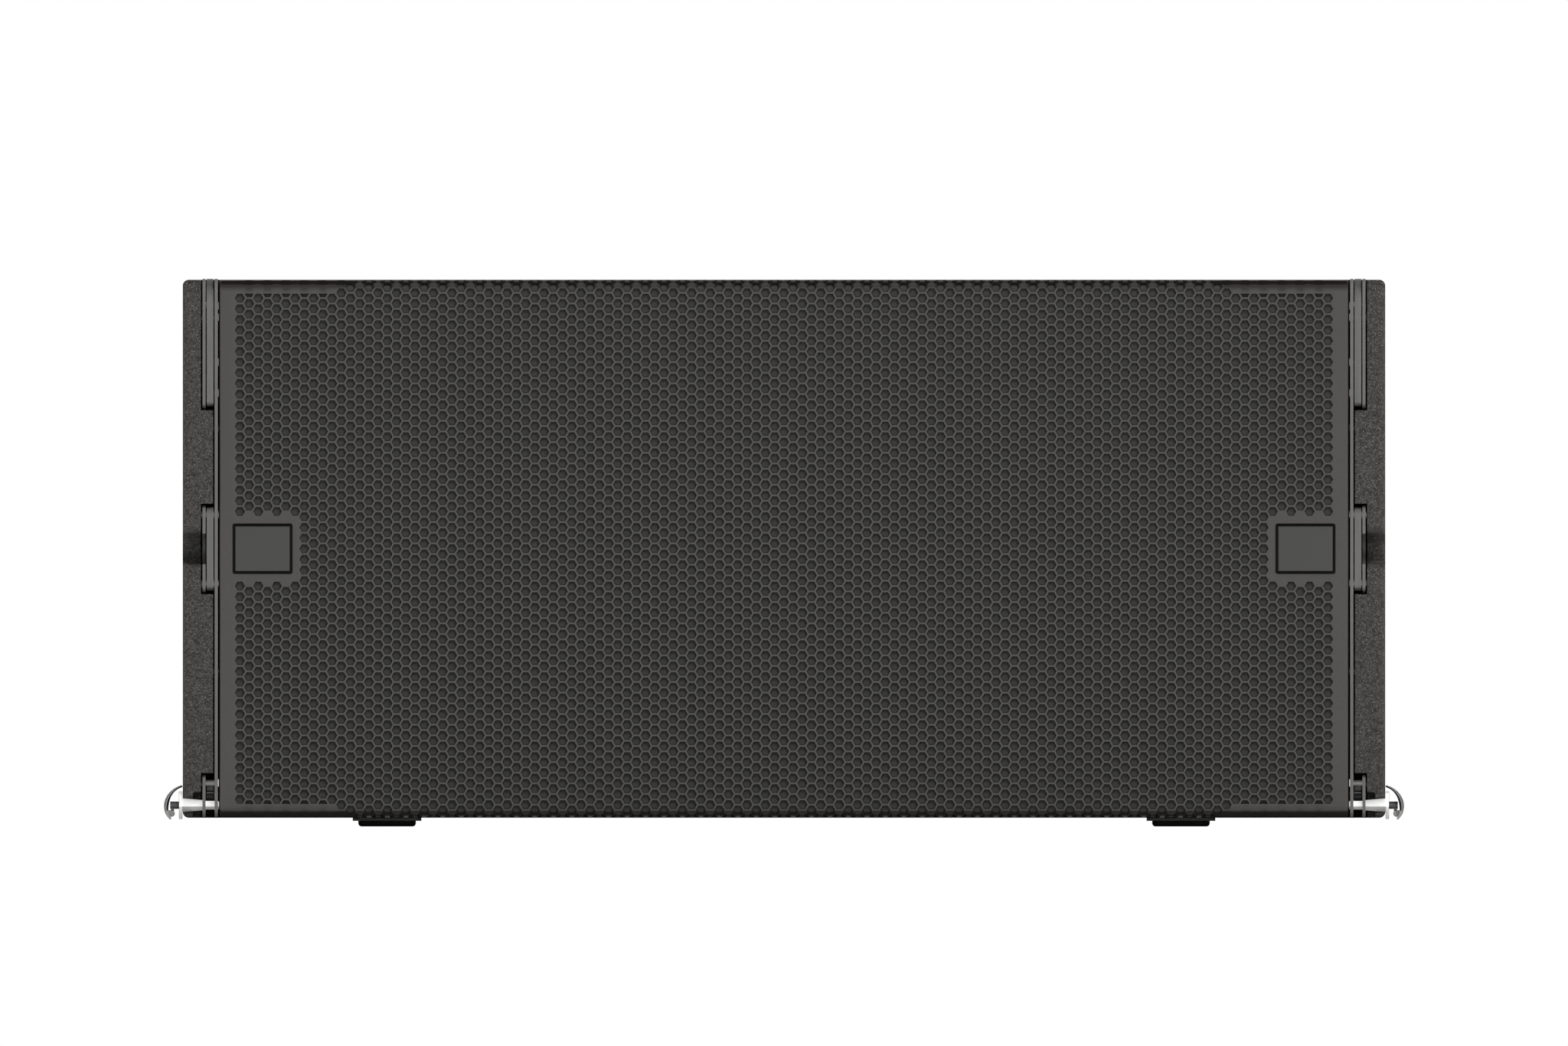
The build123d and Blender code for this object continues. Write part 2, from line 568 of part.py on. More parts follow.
def lower_stop():
    """Grooved stop between the lower plates, behind the place of the next link."""
    outline = [(STOP_SETBACK, STOP_LOW), (STOP_SETBACK + STOP_DEPTH, STOP_LOW),
               (STOP_SETBACK + STOP_DEPTH, STOP_HIGH), (STOP_SETBACK, STOP_HIGH)]
    stop = along_x(outline, LINK_INSIDE, LINK_OUTSIDE)
    tools = [block(LINK_INSIDE - 1, LINK_OUTSIDE + 1, STOP_SETBACK - 1, STOP_SETBACK + STOP_GROOVE, low, high)
             for low, high in STOP_GROOVES]
    y, z = lower_rivets()[1]
    tools.append(rod_x(LINK_INSIDE - 1, LINK_OUTSIDE + 1, y, z, RIVET_RADIUS))
    return cut(stop, tools)


def rivet(y, z, collar):
    """A shouldered rivet through the outer and inner plates."""
    parts = [rod_x(INNER_INSIDE, OUTER_OUTSIDE, y, z, RIVET_RADIUS),
             rod_x(INNER_INSIDE - RIVET_HEAD, INNER_INSIDE, y, z, RIVET_HEAD_RADIUS),
             rod_x(OUTER_OUTSIDE, OUTER_OUTSIDE + RIVET_HEAD, y, z, RIVET_HEAD_RADIUS)]
    if collar == "full":
        parts.append(rod_x(INNER_OUTSIDE, OUTER_INSIDE, y, z, RIVET_COLLAR_RADIUS))
    if collar == "washers":
        parts.append(rod_x(INNER_OUTSIDE, LINK_INSIDE, y, z, RIVET_COLLAR_RADIUS))
        parts.append(rod_x(LINK_OUTSIDE, OUTER_INSIDE, y, z, RIVET_COLLAR_RADIUS))
    return fused(parts)


def rigging_rivets():
    """All rivets of one side; those beside the block carry washers."""
    rivets = [rivet(y, z, "full") for y, z in upper_rivets()]
    rivets += [rivet(y, z, "washers") for y, z in middle_rivets() + lower_rivets()[1:]]
    rivets += [rivet(y, z, "none") for y, z in ((PIN_SETBACK, GUIDE_HEIGHT), lower_rivets()[0])]
    return Compound(children=rivets)


def rigging_screws():
    """Wood screws and spacers that hold the inner plate off the cheek."""
    screws = []
    for z in SCREW_HEIGHTS:
        for y in SCREW_DEPTHS:
            shank = rod_x(INNER_INSIDE, INNER_HALF + SCREW_DEPTH, y, z, SCREW_RADIUS)
            head = rod_x(INNER_INSIDE - SCREW_HEAD, INNER_INSIDE, y, z, SCREW_HEAD_RADIUS)
            spacer = rod_x(INNER_OUTSIDE, INNER_HALF, y, z, SCREW_HEAD_RADIUS)
            screws.append(fused([shank, head, spacer]))
    return Compound(children=screws)


def link_eye_height():
    """Height of the link's eye when it is stowed."""
    return top_at(PIN_SETBACK) + PLATE_PROUD - LINK_WIDTH / 2


def front_link():
    """Sliding link: round upper end with its eye, long slot for the guide pin."""
    centre = PLATE_RECESS + LINK_WIDTH / 2
    eye = link_eye_height()
    low = CABINET_HEIGHT - UPPER_POCKET + PLATE_END_GAP + LINK_FOOT_GAP
    body = Pos(centre, (low + eye) / 2) * Rectangle(LINK_WIDTH, eye - low)
    body = fillet([v for v in body.vertices() if v.Y < low + 0.1], radius=LINK_CORNER)
    outline = body + Pos(centre, eye) * Circle(LINK_WIDTH / 2)
    link = across(outline, LINK_INSIDE, LINK_OUTSIDE)
    slot_top = GUIDE_HEIGHT + RIVET_RADIUS + SLOT_AIR
    slot_low = GUIDE_HEIGHT - LINK_TRAVEL - RIVET_RADIUS - SLOT_AIR
    width = 2 * (RIVET_RADIUS + SLOT_AIR)
    slot = Rot(0, 0, 90) * SlotOverall(slot_top - slot_low, width)
    slot = Pos(PIN_SETBACK, (slot_top + slot_low) / 2) * slot
    tools = [across(slot, LINK_INSIDE - 1, LINK_OUTSIDE + 1),
             rod_x(LINK_INSIDE - 1, LINK_OUTSIDE + 1, PIN_SETBACK, eye, SHANK_RADIUS + BORE_AIR)]
    return cut(link, tools)


# ---------------------------------------------------------------- release pin and lever
def front_pin():
    """Ball-lock pin: shank, cone, flange, spindle and the lug of its lever."""
    y = PIN_SETBACK
    z = PIN_HEIGHT
    side = HALF_WIDTH
    tip = INNER_INSIDE - GRILLE_GAP + 0.2
    shank = rod_x(tip, OUTER_OUTSIDE, y, z, SHANK_RADIUS)
    shank = chamfer(shank.edges().group_by(Axis.X)[0], length=PIN_TIP_CHAMFER)
    cone = rod_x(OUTER_OUTSIDE, side + PIN_FLANGE_AIR, y, z, CONE_SMALL_RADIUS, CONE_LARGE_RADIUS)
    flange = rod_x(side + PIN_FLANGE_AIR, side + PIN_FLANGE_AIR + PIN_FLANGE, y, z, PIN_FLANGE_RADIUS)
    flange = fillet(flange.edges().filter_by(GeomType.CIRCLE), radius=PIN_FLANGE * 0.3)
    spindle_end = side + PIN_FLANGE_AIR + PIN_FLANGE + SPINDLE_LENGTH
    spindle = rod_x(side + PIN_FLANGE_AIR + PIN_FLANGE / 2, spindle_end, y, z, SPINDLE_RADIUS)
    pivot_x = side + LEVER_PIVOT_OUT
    pivot_z = z - LEVER_PIVOT_DROP
    half = LEVER_LUG_WIDTH / 2
    lug = rod_y(pivot_x, y - half, y + half, pivot_z, LEVER_LUG_RADIUS)
    neck_side = pivot_x + LEVER_LUG_RADIUS * 0.3
    neck = block(pivot_x - LEVER_LUG_RADIUS, neck_side, y - half, y + half, pivot_z, z)
    bore = rod_y(pivot_x, y - half - 1, y + half + 1, pivot_z, LEVER_PIVOT_RADIUS + BORE_AIR)
    return fused([shank, cone, flange, spindle, neck, lug]) - bore


def front_lever():
    """Curved blade over the pin's end, with two ears and a rivet on the pivot."""
    side = HALF_WIDTH
    y = PIN_SETBACK
    outer = [(side + px, PIN_HEIGHT + pz) for px, pz in LEVER_OUTER]
    inner = [(side + px, PIN_HEIGHT + pz) for px, pz in LEVER_INNER]
    edges = [Spline(*outer), Line(outer[-1], inner[-1]), Spline(*inner), Line(inner[0], outer[0])]
    blade = rearward(make_face(edges), y - LEVER_WIDTH / 2, y + LEVER_WIDTH / 2)
    pivot_x = side + LEVER_PIVOT_OUT
    pivot_z = PIN_HEIGHT - LEVER_PIVOT_DROP
    first = LEVER_LUG_WIDTH / 2 + LEVER_AIR
    last = first + LEVER_EAR_WIDTH
    reach = LEVER_INNER[4][0] - LEVER_PIVOT_OUT + 0.6
    ear = Pos(pivot_x, pivot_z) * Circle(LEVER_EAR_RADIUS)
    ear += Pos(pivot_x + reach / 2, pivot_z) * Rectangle(reach, 2 * LEVER_EAR_RADIUS)
    ears = [rearward(ear, y + first, y + last), rearward(ear, y - last, y - first)]
    rivet_solid = rod_y(pivot_x, y - last, y + last, pivot_z, LEVER_PIVOT_RADIUS)
    return fused([blade] + ears + [rivet_solid])


# ---------------------------------------------------------------- grille, foam, badges
def grille_outline(inset, reach):
    """Side outline of the grille pan, inset by a sheet thickness, to a depth."""
    return [(inset, inset), (reach, inset), (reach, CABINET_HEIGHT - inset), (inset, CABINET_HEIGHT - inset)]


def front_grille():
    """Folded sheet pan: face, top and bottom flanges and short side returns."""
    outside = along_x(grille_outline(0, GRILLE_FLANGE), -GRILLE_HALF, GRILLE_HALF)
    long_edges = outside.edges().filter_by(Axis.X).group_by(Axis.Y)[0]
    outside = fillet(long_edges, radius=GRILLE_BEND)
    inside_half = GRILLE_HALF - GRILLE_SHEET
    inside = along_x(grille_outline(GRILLE_SHEET, GRILLE_FLANGE + 5), -inside_half, inside_half)
    long_edges = inside.edges().filter_by(Axis.X).group_by(Axis.Y)[0]
    inside = fillet(long_edges, radius=GRILLE_BEND - GRILLE_SHEET)
    tools = [inside]
    for sign in (-1, 1):
        tools.append(block(sign * (inside_half - 0.01), sign * (GRILLE_HALF + 1), GRILLE_RETURN,
                           GRILLE_FLANGE + 1, -1, CABINET_HEIGHT + 1))
    return cut(outside, tools)


def grille_foam():
    """Acoustic foam lining the inside of the grille's face."""
    half = GRILLE_HALF - GRILLE_SHEET - FOAM_EDGE_GAP
    y0 = GRILLE_SHEET
    y1 = GRILLE_SHEET + FOAM_THICKNESS
    low = GRILLE_BEND + FOAM_EDGE_GAP
    high = CABINET_HEIGHT - GRILLE_BEND - FOAM_EDGE_GAP
    return block(-half, half, y0, y1, low, high)


def badge_frame():
    """Raised rounded rim of a blank badge."""
    outline = Pos(BADGE_CENTRE, MIDDLE) * RectangleRounded(BADGE_WIDTH, BADGE_HEIGHT, BADGE_RADIUS)
    frame = rearward(outline, -BADGE_FRAME_DEPTH, 0)
    hollow = Pos(BADGE_CENTRE, MIDDLE) * RectangleRounded(
        BADGE_WIDTH - 2 * BADGE_FRAME_RIM, BADGE_HEIGHT - 2 * BADGE_FRAME_RIM, BADGE_RADIUS * 0.6)
    return frame - rearward(hollow, -BADGE_FRAME_DEPTH - 1, -BADGE_FRAME_DEPTH / 3)


def badge_face():
    """Blank plate held in the badge's rim."""
    inset = BADGE_FRAME_RIM
    plate = Pos(BADGE_CENTRE, MIDDLE) * RectangleRounded(
        BADGE_WIDTH - 2 * inset, BADGE_HEIGHT - 2 * inset, BADGE_RADIUS * 0.6)
    return rearward(plate, -BADGE_FRAME_DEPTH - BADGE_FACE_PROUD, -BADGE_FRAME_DEPTH / 3)


def grille_screw_places():
    """Stations across the width of the grille's flange screws."""
    step = GRILLE_HALF * 2 / GRILLE_SCREWS
    return [-GRILLE_HALF + step * (i + 0.5) for i in range(GRILLE_SCREWS)]


def grille_screws():
    """Countersunk screws through the bottom flange into the bottom panel."""
    y = GRILLE_FLANGE - GRILLE_SCREW_INSET
    radius = GRILLE_SCREW_RADIUS
    screws = []
    for x in grille_screw_places():
        head = Pos(x, y, GRILLE_SHEET / 2) * Cone(GRILLE_SCREW_HEAD_RADIUS, radius, GRILLE_SHEET)
        shank = upward(Pos(x, y) * Circle(radius), GRILLE_SHEET, GRILLE_SHEET + GRILLE_SCREW_LENGTH)
        screws.append(head + shank)
    return screws


# ---------------------------------------------------------------- cabinet
def cabinet_shell(screws):
    """Plywood box with rigging pockets, drivers' chamber, handle and amplifier openings."""
    points = [(0, 0), (CABINET_DEPTH, 0), (CABINET_DEPTH, REAR_HEIGHT), (TOP_LEVEL, CABINET_HEIGHT),
              (0, CABINET_HEIGHT)]
    shell = along_x(points, -HALF_WIDTH, HALF_WIDTH)
    shell = fillet(shell.edges(), radius=EDGE_RADIUS)
    chamber = [(-1, PANEL_THICKNESS), (CABINET_DEPTH - PANEL_THICKNESS, PANEL_THICKNESS),
               (CABINET_DEPTH - PANEL_THICKNESS, ceiling_at(CABINET_DEPTH - PANEL_THICKNESS)),
               (CEILING_LEVEL, ceiling_at(0)), (-1, ceiling_at(0))]
    tools = [along_x(chamber, -INNER_HALF, INNER_HALF)]
    # seat of the grille: the panels stop behind its face and are rebated under its flanges
    lip = GRILLE_SHEET + FLANGE_GAP
    setback = max(GRILLE_RETURN, GRILLE_BEND) + 1
    tools.append(block(-GRILLE_HALF, GRILLE_HALF, -1, setback, -1, CABINET_HEIGHT + 1))
    rebate = GRILLE_FLANGE + 1
    tools.append(block(-GRILLE_HALF, GRILLE_HALF, -1, rebate, -1, GRILLE_SHEET))
    tools.append(block(-GRILLE_HALF, GRILLE_HALF, -1, rebate, CABINET_HEIGHT - lip, CABINET_HEIGHT + 5))
    # amplifier opening in the back panel
    opening = Pos(0, AMP_MIDDLE) * RectangleRounded(
        AMP_PANEL_WIDTH - 2 * AMP_LIP, AMP_PANEL_HEIGHT - 2 * AMP_LIP, AMP_PANEL_RADIUS)
    tools.append(rearward(opening, CABINET_DEPTH - PANEL_THICKNESS - 1, CABINET_DEPTH + 1))
    right = rigging_cuts()
    right.append(handle_solid(0, 0, through=True))
    right.append(across(handle_outline(HANDLE_RIM), HALF_WIDTH - HANDLE_FLANGE, HALF_WIDTH + 1))
    for x, z in rear_screw_places():
        right.append(rod_y(x, CABINET_DEPTH - REAR_SCREW_LENGTH + REAR_BRACKET_PLATE, CABINET_DEPTH + 1, z,
                           REAR_SCREW_RADIUS))
    for tool in right:
        tools.append(tool)
        tools.append(to_left(tool))
    for x, z in panel_screw_places():
        tools.append(rod_y(x, CABINET_DEPTH - PANEL_SCREW_LENGTH, CABINET_DEPTH + 1, z, PANEL_SCREW_RADIUS))
    tools += screws
    return cut(shell, tools)


def handle_outline(grow):
    """Y-Z outline of the handle opening, grown all round."""
    size = RectangleRounded(HANDLE_LENGTH + 2 * grow, HANDLE_OPENING + 2 * grow, HANDLE_RADIUS + grow)
    return Pos(HANDLE_SETBACK, HANDLE_HEIGHT) * size


def handle_solid(inset, floor, through=False):
    """Tapered body of the handle cup, inset by a wall."""
    depth = CHEEK_THICKNESS + 2 if through else HANDLE_DEPTH - floor
    outer = HALF_WIDTH + (1 if through or inset else -HANDLE_FLANGE / 2)
    if through:
        return across(handle_outline(0), HALF_WIDTH - depth, outer)
    mouth = Plane.YZ.offset(outer) * handle_outline(-inset)
    bottom = Plane.YZ.offset(HALF_WIDTH - depth) * handle_outline(-inset - HANDLE_DRAFT)
    return loft([mouth.faces()[0], bottom.faces()[0]])


def handle_cup():
    """Moulded handle cup: flush flange and a tapered bowl."""
    flange = across(handle_outline(HANDLE_RIM), HALF_WIDTH - HANDLE_FLANGE, HALF_WIDTH)
    bowl = handle_solid(0, 0)
    hollow = handle_solid(HANDLE_WALL, HANDLE_WALL)
    return flange + bowl - hollow


# ---------------------------------------------------------------- feet
def foot_places():
    """Centres of the four feet."""
    places = []
    for x in (-FOOT_CENTRE, FOOT_CENTRE):
        for y in (FOOT_SETBACK, CABINET_DEPTH - FOOT_REAR_SETBACK):
            places.append((x, y))
    return places


def foot_plates():
    plates = []
    for x, y in foot_places():
        outline = Pos(x, y) * RectangleRounded(FOOT_PLATE_WIDTH, FOOT_PLATE_LENGTH, 4)
        plates.append(upward(outline, -FOOT_PLATE, 0))
    return Compound(children=plates)


def rubber_feet():
    feet = []
    for x, y in foot_places():
        outline = Pos(x, y) * RectangleRounded(FOOT_PAD_WIDTH, FOOT_PAD_LENGTH, 5)
        foot = upward(outline, -FOOT_PLATE - FOOT_PAD, -FOOT_PLATE)
        feet.append(fillet(foot.edges().group_by(Axis.Z)[0], radius=FOOT_PAD_RADIUS))
    return Compound(children=feet)


# ---------------------------------------------------------------- baffle and drivers
def port_places():
    """Centres of the four bass ports."""
    return [(x, BAFFLE_MIDDLE + z) for x in (-PORT_CENTRE, PORT_CENTRE) for z in (-PORT_HEIGHT, PORT_HEIGHT)]


def horn_screw_places():
    """Centres of the horn's fixing screws."""
    x = (HORN_FLANGE_WIDTH + HORN_MOUTH_WIDTH) / 4
    places = []
    for i in range(5):
        z = BAFFLE_MIDDLE + (i - 2) * HORN_FLANGE_HEIGHT * 0.23
        places += [(-x, z), (x, z)]
    return places


def woofer_screw_places(x):
    """Centres of one woofer's screws."""
    places = []
    for i in range(WOOFER_SCREWS):
        angle = 2 * pi * (i + 0.5) / WOOFER_SCREWS
        z = BAFFLE_MIDDLE + WOOFER_SCREW_CIRCLE * sin(angle)
        places.append((x + WOOFER_SCREW_CIRCLE * cos(angle), z))
    return places


def driver_screw_places():
    """Every screw on the baffle, with the face that its head bears on."""
    places = [(x, z, BAFFLE_SETBACK - HORN_FLANGE) for x, z in horn_screw_places()]
    for side in (-WOOFER_CENTRE, WOOFER_CENTRE):
        places += [(x, z, BAFFLE_SETBACK - WOOFER_FLANGE) for x, z in woofer_screw_places(side)]
    return places


def driver_screws():
    """Screws that hold the woofers and the horn."""
    screws = []
    for x, z, y in driver_screw_places():
        head = rod_y(x, y - DRIVER_SCREW_HEAD, y, z, DRIVER_SCREW_HEAD_RADIUS)
        screws.append(head + rod_y(x, y, y + DRIVER_SCREW_LENGTH, z, DRIVER_SCREW_RADIUS))
    return Compound(children=screws)


def front_baffle():
    """Board across the chamber, cut for two woofers, the horn and four ports."""
    y0 = BAFFLE_SETBACK
    y1 = BAFFLE_REAR
    points = [(y0, PANEL_THICKNESS), (y1, PANEL_THICKNESS), (y1, ceiling_at(y1)), (y0, ceiling_at(y0))]
    board = along_x(points, -GRILLE_HALF, GRILLE_HALF)
    tools = []
    for x in (-WOOFER_CENTRE, WOOFER_CENTRE):
        tools.append(rod_y(x, y0 - 1, y1 + 1, BAFFLE_MIDDLE, WOOFER_CUTOUT))
    for x, z in port_places():
        tools.append(rod_y(x, y0 - 1, y1 + 1, z, PORT_RADIUS + PORT_WALL))
    horn = Pos(0, BAFFLE_MIDDLE) * RectangleRounded(
        HORN_MOUTH_WIDTH + 2 * HORN_WALL, HORN_MOUTH_HEIGHT + 2 * HORN_WALL, 8)
    tools.append(rearward(horn, y0 - 1, y1 + 1))
    for x, z, y in driver_screw_places():
        tools.append(rod_y(x, y, y + DRIVER_SCREW_LENGTH, z, DRIVER_SCREW_RADIUS))
    return cut(board, tools)


def woofer_basket(x):
    """Cast frame: front ring, sloping wall with windows, rear seat of the magnet."""
    flange = WOOFER_FLANGE
    rear = BASKET_DEPTH
    seat = CONE_SHEET
    ring_in = WOOFER_CONE_RADIUS
    wall = WOOFER_CUTOUT - 1.5
    points = [(WOOFER_RADIUS, 0), (WOOFER_RADIUS, flange), (wall, flange), (wall, flange + 14),
              (BASKET_REAR_RADIUS, rear - BASKET_WALL), (BASKET_REAR_RADIUS, rear), (DUST_CAP_RADIUS, rear),
              (DUST_CAP_RADIUS, rear - BASKET_WALL), (BASKET_REAR_RADIUS - BASKET_WALL, rear - BASKET_WALL),
              (wall - BASKET_WALL, flange + 12), (wall - BASKET_WALL, seat), (ring_in + WOOFER_RING, seat),
              (ring_in + WOOFER_RING, 0)]
    basket = turned_y(points, x, BAFFLE_SETBACK - flange, BAFFLE_MIDDLE)
    tools = []
    low = (wall + BASKET_REAR_RADIUS) / 2 - 22
    for i in range(BASKET_WINDOWS):
        window = Pos(0, BAFFLE_SETBACK + flange + 46, low + 22) * Box(58, 34, 60)
        tools.append(Pos(x, 0, BAFFLE_MIDDLE) * Rot(0, i * 360 / BASKET_WINDOWS, 0) * window)
    for sx, sz in woofer_screw_places(x):
        tools.append(rod_y(sx, BAFFLE_SETBACK - flange - 1, BAFFLE_SETBACK + 1, sz, DRIVER_SCREW_RADIUS))
    return cut(basket, tools)


def woofer_cone(x):
    """Paper cone with its rolled surround and dust cap, one shallow shell."""
    edge = WOOFER_CONE_RADIUS
    roll = WOOFER_SURROUND
    seat = WOOFER_CUTOUT - 1.5 - BASKET_WALL
    arc = []
    inner_arc = []
    centre = edge - roll
    for i in range(9):
        angle = pi * i / 8
        arc.append((centre + roll * cos(angle), -roll * 0.8 * sin(angle)))
        inner_arc.append((centre + (roll - CONE_SHEET) * cos(angle),
                          CONE_SHEET - roll * 0.8 * sin(angle)))
    cap_depth = CONE_DEPTH * 0.62
    front = [(seat, 0)] + arc + [(DUST_CAP_RADIUS, cap_depth), (DUST_CAP_RADIUS * 0.5, cap_depth - 6),
                                 (0, cap_depth - 8)]
    back = [(0, cap_depth - 8 + CONE_SHEET), (DUST_CAP_RADIUS * 0.5, cap_depth - 6 + CONE_SHEET),
            (DUST_CAP_RADIUS, cap_depth + CONE_SHEET * 1.4)] + inner_arc[::-1] + [(seat, CONE_SHEET)]
    return turned_y(front + back, x, BAFFLE_SETBACK - WOOFER_FLANGE, BAFFLE_MIDDLE)


def woofer_magnet(x):
    """Ring magnet between two plates, vented through the middle."""
    y = BAFFLE_SETBACK - WOOFER_FLANGE + BASKET_DEPTH
    vent = MAGNET_VENT_RADIUS
    length = MAGNET_LENGTH
    big = MAGNET_RADIUS
    points = [(vent, 0), (big - 4, 0), (big - 4, 7), (big, 7), (big, length - 8), (big - 4, length - 8),
              (big - 6, length), (vent, length)]
    return turned_y(points, x, y, BAFFLE_MIDDLE)


def hf_waveguide():
    """Horn that flares from a tall narrow slot to its mouth, with a body for two drivers."""
    y = BAFFLE_SETBACK - HORN_FLANGE
    z = BAFFLE_MIDDLE
    outline = Pos(0, z) * RectangleRounded(HORN_FLANGE_WIDTH, HORN_FLANGE_HEIGHT, 9)
    flange = rearward(outline, y, y + HORN_FLANGE)

    def section(width, height, depth, radius):
        plane = Plane(origin=(0, depth, z), x_dir=(1, 0, 0), z_dir=(0, -1, 0))
        return (plane * RectangleRounded(width, height, radius)).faces()[0]

    throat = y + HORN_LENGTH
    halfway = y + HORN_LENGTH * 0.5
    wall = 2 * HORN_WALL
    stations = [(HORN_MOUTH_WIDTH, HORN_MOUTH_HEIGHT, y, 8.0),
                (HORN_MOUTH_WIDTH * 0.42, (HORN_MOUTH_HEIGHT + HORN_THROAT_HEIGHT) / 2, halfway, 6.0),
                (HORN_THROAT_WIDTH, HORN_THROAT_HEIGHT, throat, 4.0)]
    outer = loft([section(w + wall, h + wall, d, r + HORN_WALL) for w, h, d, r in stations])
    inner = loft([section(w, h, d, r) for w, h, d, r in stations])
    body = rearward(Pos(0, z) * RectangleRounded(HORN_BODY_WIDTH, HORN_THROAT_HEIGHT + wall + 4, 6),
                    throat, throat + HORN_BODY_LENGTH)
    horn = cut(flange + outer, [inner]) + body
    slot = rearward(Pos(0, z) * RectangleRounded(HORN_THROAT_WIDTH, HORN_THROAT_HEIGHT, 4),
                    throat - 0.5, throat + HORN_BODY_LENGTH * 0.6)
    tools = [slot]
    for side in (-1, 1):
        tools.append(rod_y(0, throat + 1, throat + HORN_BODY_LENGTH + 1, z + side * TWEETER_CENTRE,
                           TWEETER_THROAT_RADIUS))
    for sx, sz in horn_screw_places():
        tools.append(rod_y(sx, y - 1, y + HORN_FLANGE + 1, sz, DRIVER_SCREW_RADIUS))
    return cut(horn, tools)


def compression_driver(side):
    """Small horn driver: mounting flange, body and rear cover."""
    y = BAFFLE_SETBACK - HORN_FLANGE + HORN_LENGTH + HORN_BODY_LENGTH
    throat = TWEETER_THROAT_RADIUS
    big = TWEETER_RADIUS
    length = TWEETER_LENGTH
    points = [(throat, 0), (throat + 8, 0), (big - 8, 4), (big, 6), (big, 20), (big - 3, 21),
              (big - 3, length - 12), (big - 10, length), (0, length), (0, length - 14), (throat, 12)]
    return turned_y(points, 0, y, BAFFLE_MIDDLE + side * TWEETER_CENTRE)


def bass_ports():
    """Four flared port tubes."""
    ports = []
    inside = PORT_RADIUS
    outside = PORT_RADIUS + PORT_WALL
    for x, z in port_places():
        points = [(outside + PORT_LIP, 0), (outside + PORT_LIP, 2), (outside, 2), (outside, PORT_LENGTH),
                  (inside, PORT_LENGTH), (inside, PORT_FLARE), (inside + 1, PORT_FLARE / 3), (inside + 3, 0)]
        ports.append(turned_y(points, x, BAFFLE_SETBACK - 2, z))
    return Compound(children=ports)


def cabinet_braces():
    """Two windowed boards between the baffle, the top and the bottom panels."""
    y0 = BAFFLE_REAR
    y1 = BAFFLE_REAR + BRACE_LENGTH
    rim = BRACE_RIM
    points = [(y0, PANEL_THICKNESS), (y1, PANEL_THICKNESS), (y1, ceiling_at(y1)),
              (CEILING_LEVEL, ceiling_at(0)), (y0, ceiling_at(y0))]
    window = [(y0 + rim, PANEL_THICKNESS + rim), (y1 - rim, PANEL_THICKNESS + rim),
              (y1 - rim, ceiling_at(y1 - rim) - rim), (y0 + rim, ceiling_at(y0 + rim) - rim)]
    braces = []
    for x in (-BRACE_CENTRE, BRACE_CENTRE):
        x0 = x - BRACE_THICKNESS / 2
        x1 = x + BRACE_THICKNESS / 2
        hole = along_x(window, x0 - 1, x1 + 1)
        hole = fillet(hole.edges().filter_by(Axis.X), radius=BRACE_CORNER)
        braces.append(along_x(points, x0, x1) - hole)
    return Compound(children=braces)


# ---------------------------------------------------------------- amplifier
def panel_screw_places():
    """Screws round the rim of the amplifier's panel."""
    x = AMP_PANEL_WIDTH / 2 - PANEL_SCREW_INSET
    z = AMP_PANEL_HEIGHT / 2 - PANEL_SCREW_INSET
    places = [(px, AMP_MIDDLE + pz) for px in (-x, 0, x) for pz in (-z, z)]
    return places + [(-x, AMP_MIDDLE), (x, AMP_MIDDLE)]


def socket_places():
    """Two columns by three rows of sockets: mains, network and signal."""
    places = []
    for row in range(3):
        z = AMP_MIDDLE + SOCKET_LOW + row * SOCKET_SPACING_Z
        for side in (-1, 1):
            places.append((CONTROL_CENTRE + side * SOCKET_SPACING_X / 2, z))
    return places


def amplifier_panel():
    """Rear panel with its socket holes and the recess of the display."""
    y = CABINET_DEPTH
    outline = Pos(0, AMP_MIDDLE) * RectangleRounded(AMP_PANEL_WIDTH, AMP_PANEL_HEIGHT, AMP_PANEL_RADIUS)
    plate = rearward(outline, y, y + AMP_PANEL)
    tools = []
    for x, z in socket_places():
        tools.append(rod_y(x, y - 1, y + AMP_PANEL + 1, z, SOCKET_BARREL_RADIUS + SOCKET_BARREL_AIR))
    display_z = AMP_MIDDLE + DISPLAY_HEIGHT_UP
    display = Pos(CONTROL_CENTRE, display_z) * RectangleRounded(DISPLAY_WIDTH, DISPLAY_HEIGHT, 3)
    tools.append(rearward(display, y + AMP_PANEL - 1, y + AMP_PANEL + 1))
    tools.append(rod_y(CONTROL_CENTRE, y - 1, y + AMP_PANEL + 1, AMP_MIDDLE + KNOB_HEIGHT_UP,
                       KNOB_SHAFT_RADIUS + BORE_AIR))
    for x, z in panel_screw_places():
        tools.append(rod_y(x, y - 1, y + AMP_PANEL + 1, z, PANEL_SCREW_RADIUS))
    return cut(plate, tools)


def panel_screws():
    """Pan-head screws round the amplifier's panel."""
    y = CABINET_DEPTH + AMP_PANEL
    screws = []
    for x, z in panel_screw_places():
        head = rod_y(x, y, y + PANEL_SCREW_HEAD, z, PANEL_SCREW_HEAD_RADIUS)
        screws.append(head + rod_y(x, CABINET_DEPTH - PANEL_SCREW_LENGTH, y, z, PANEL_SCREW_RADIUS))
    return Compound(children=screws)


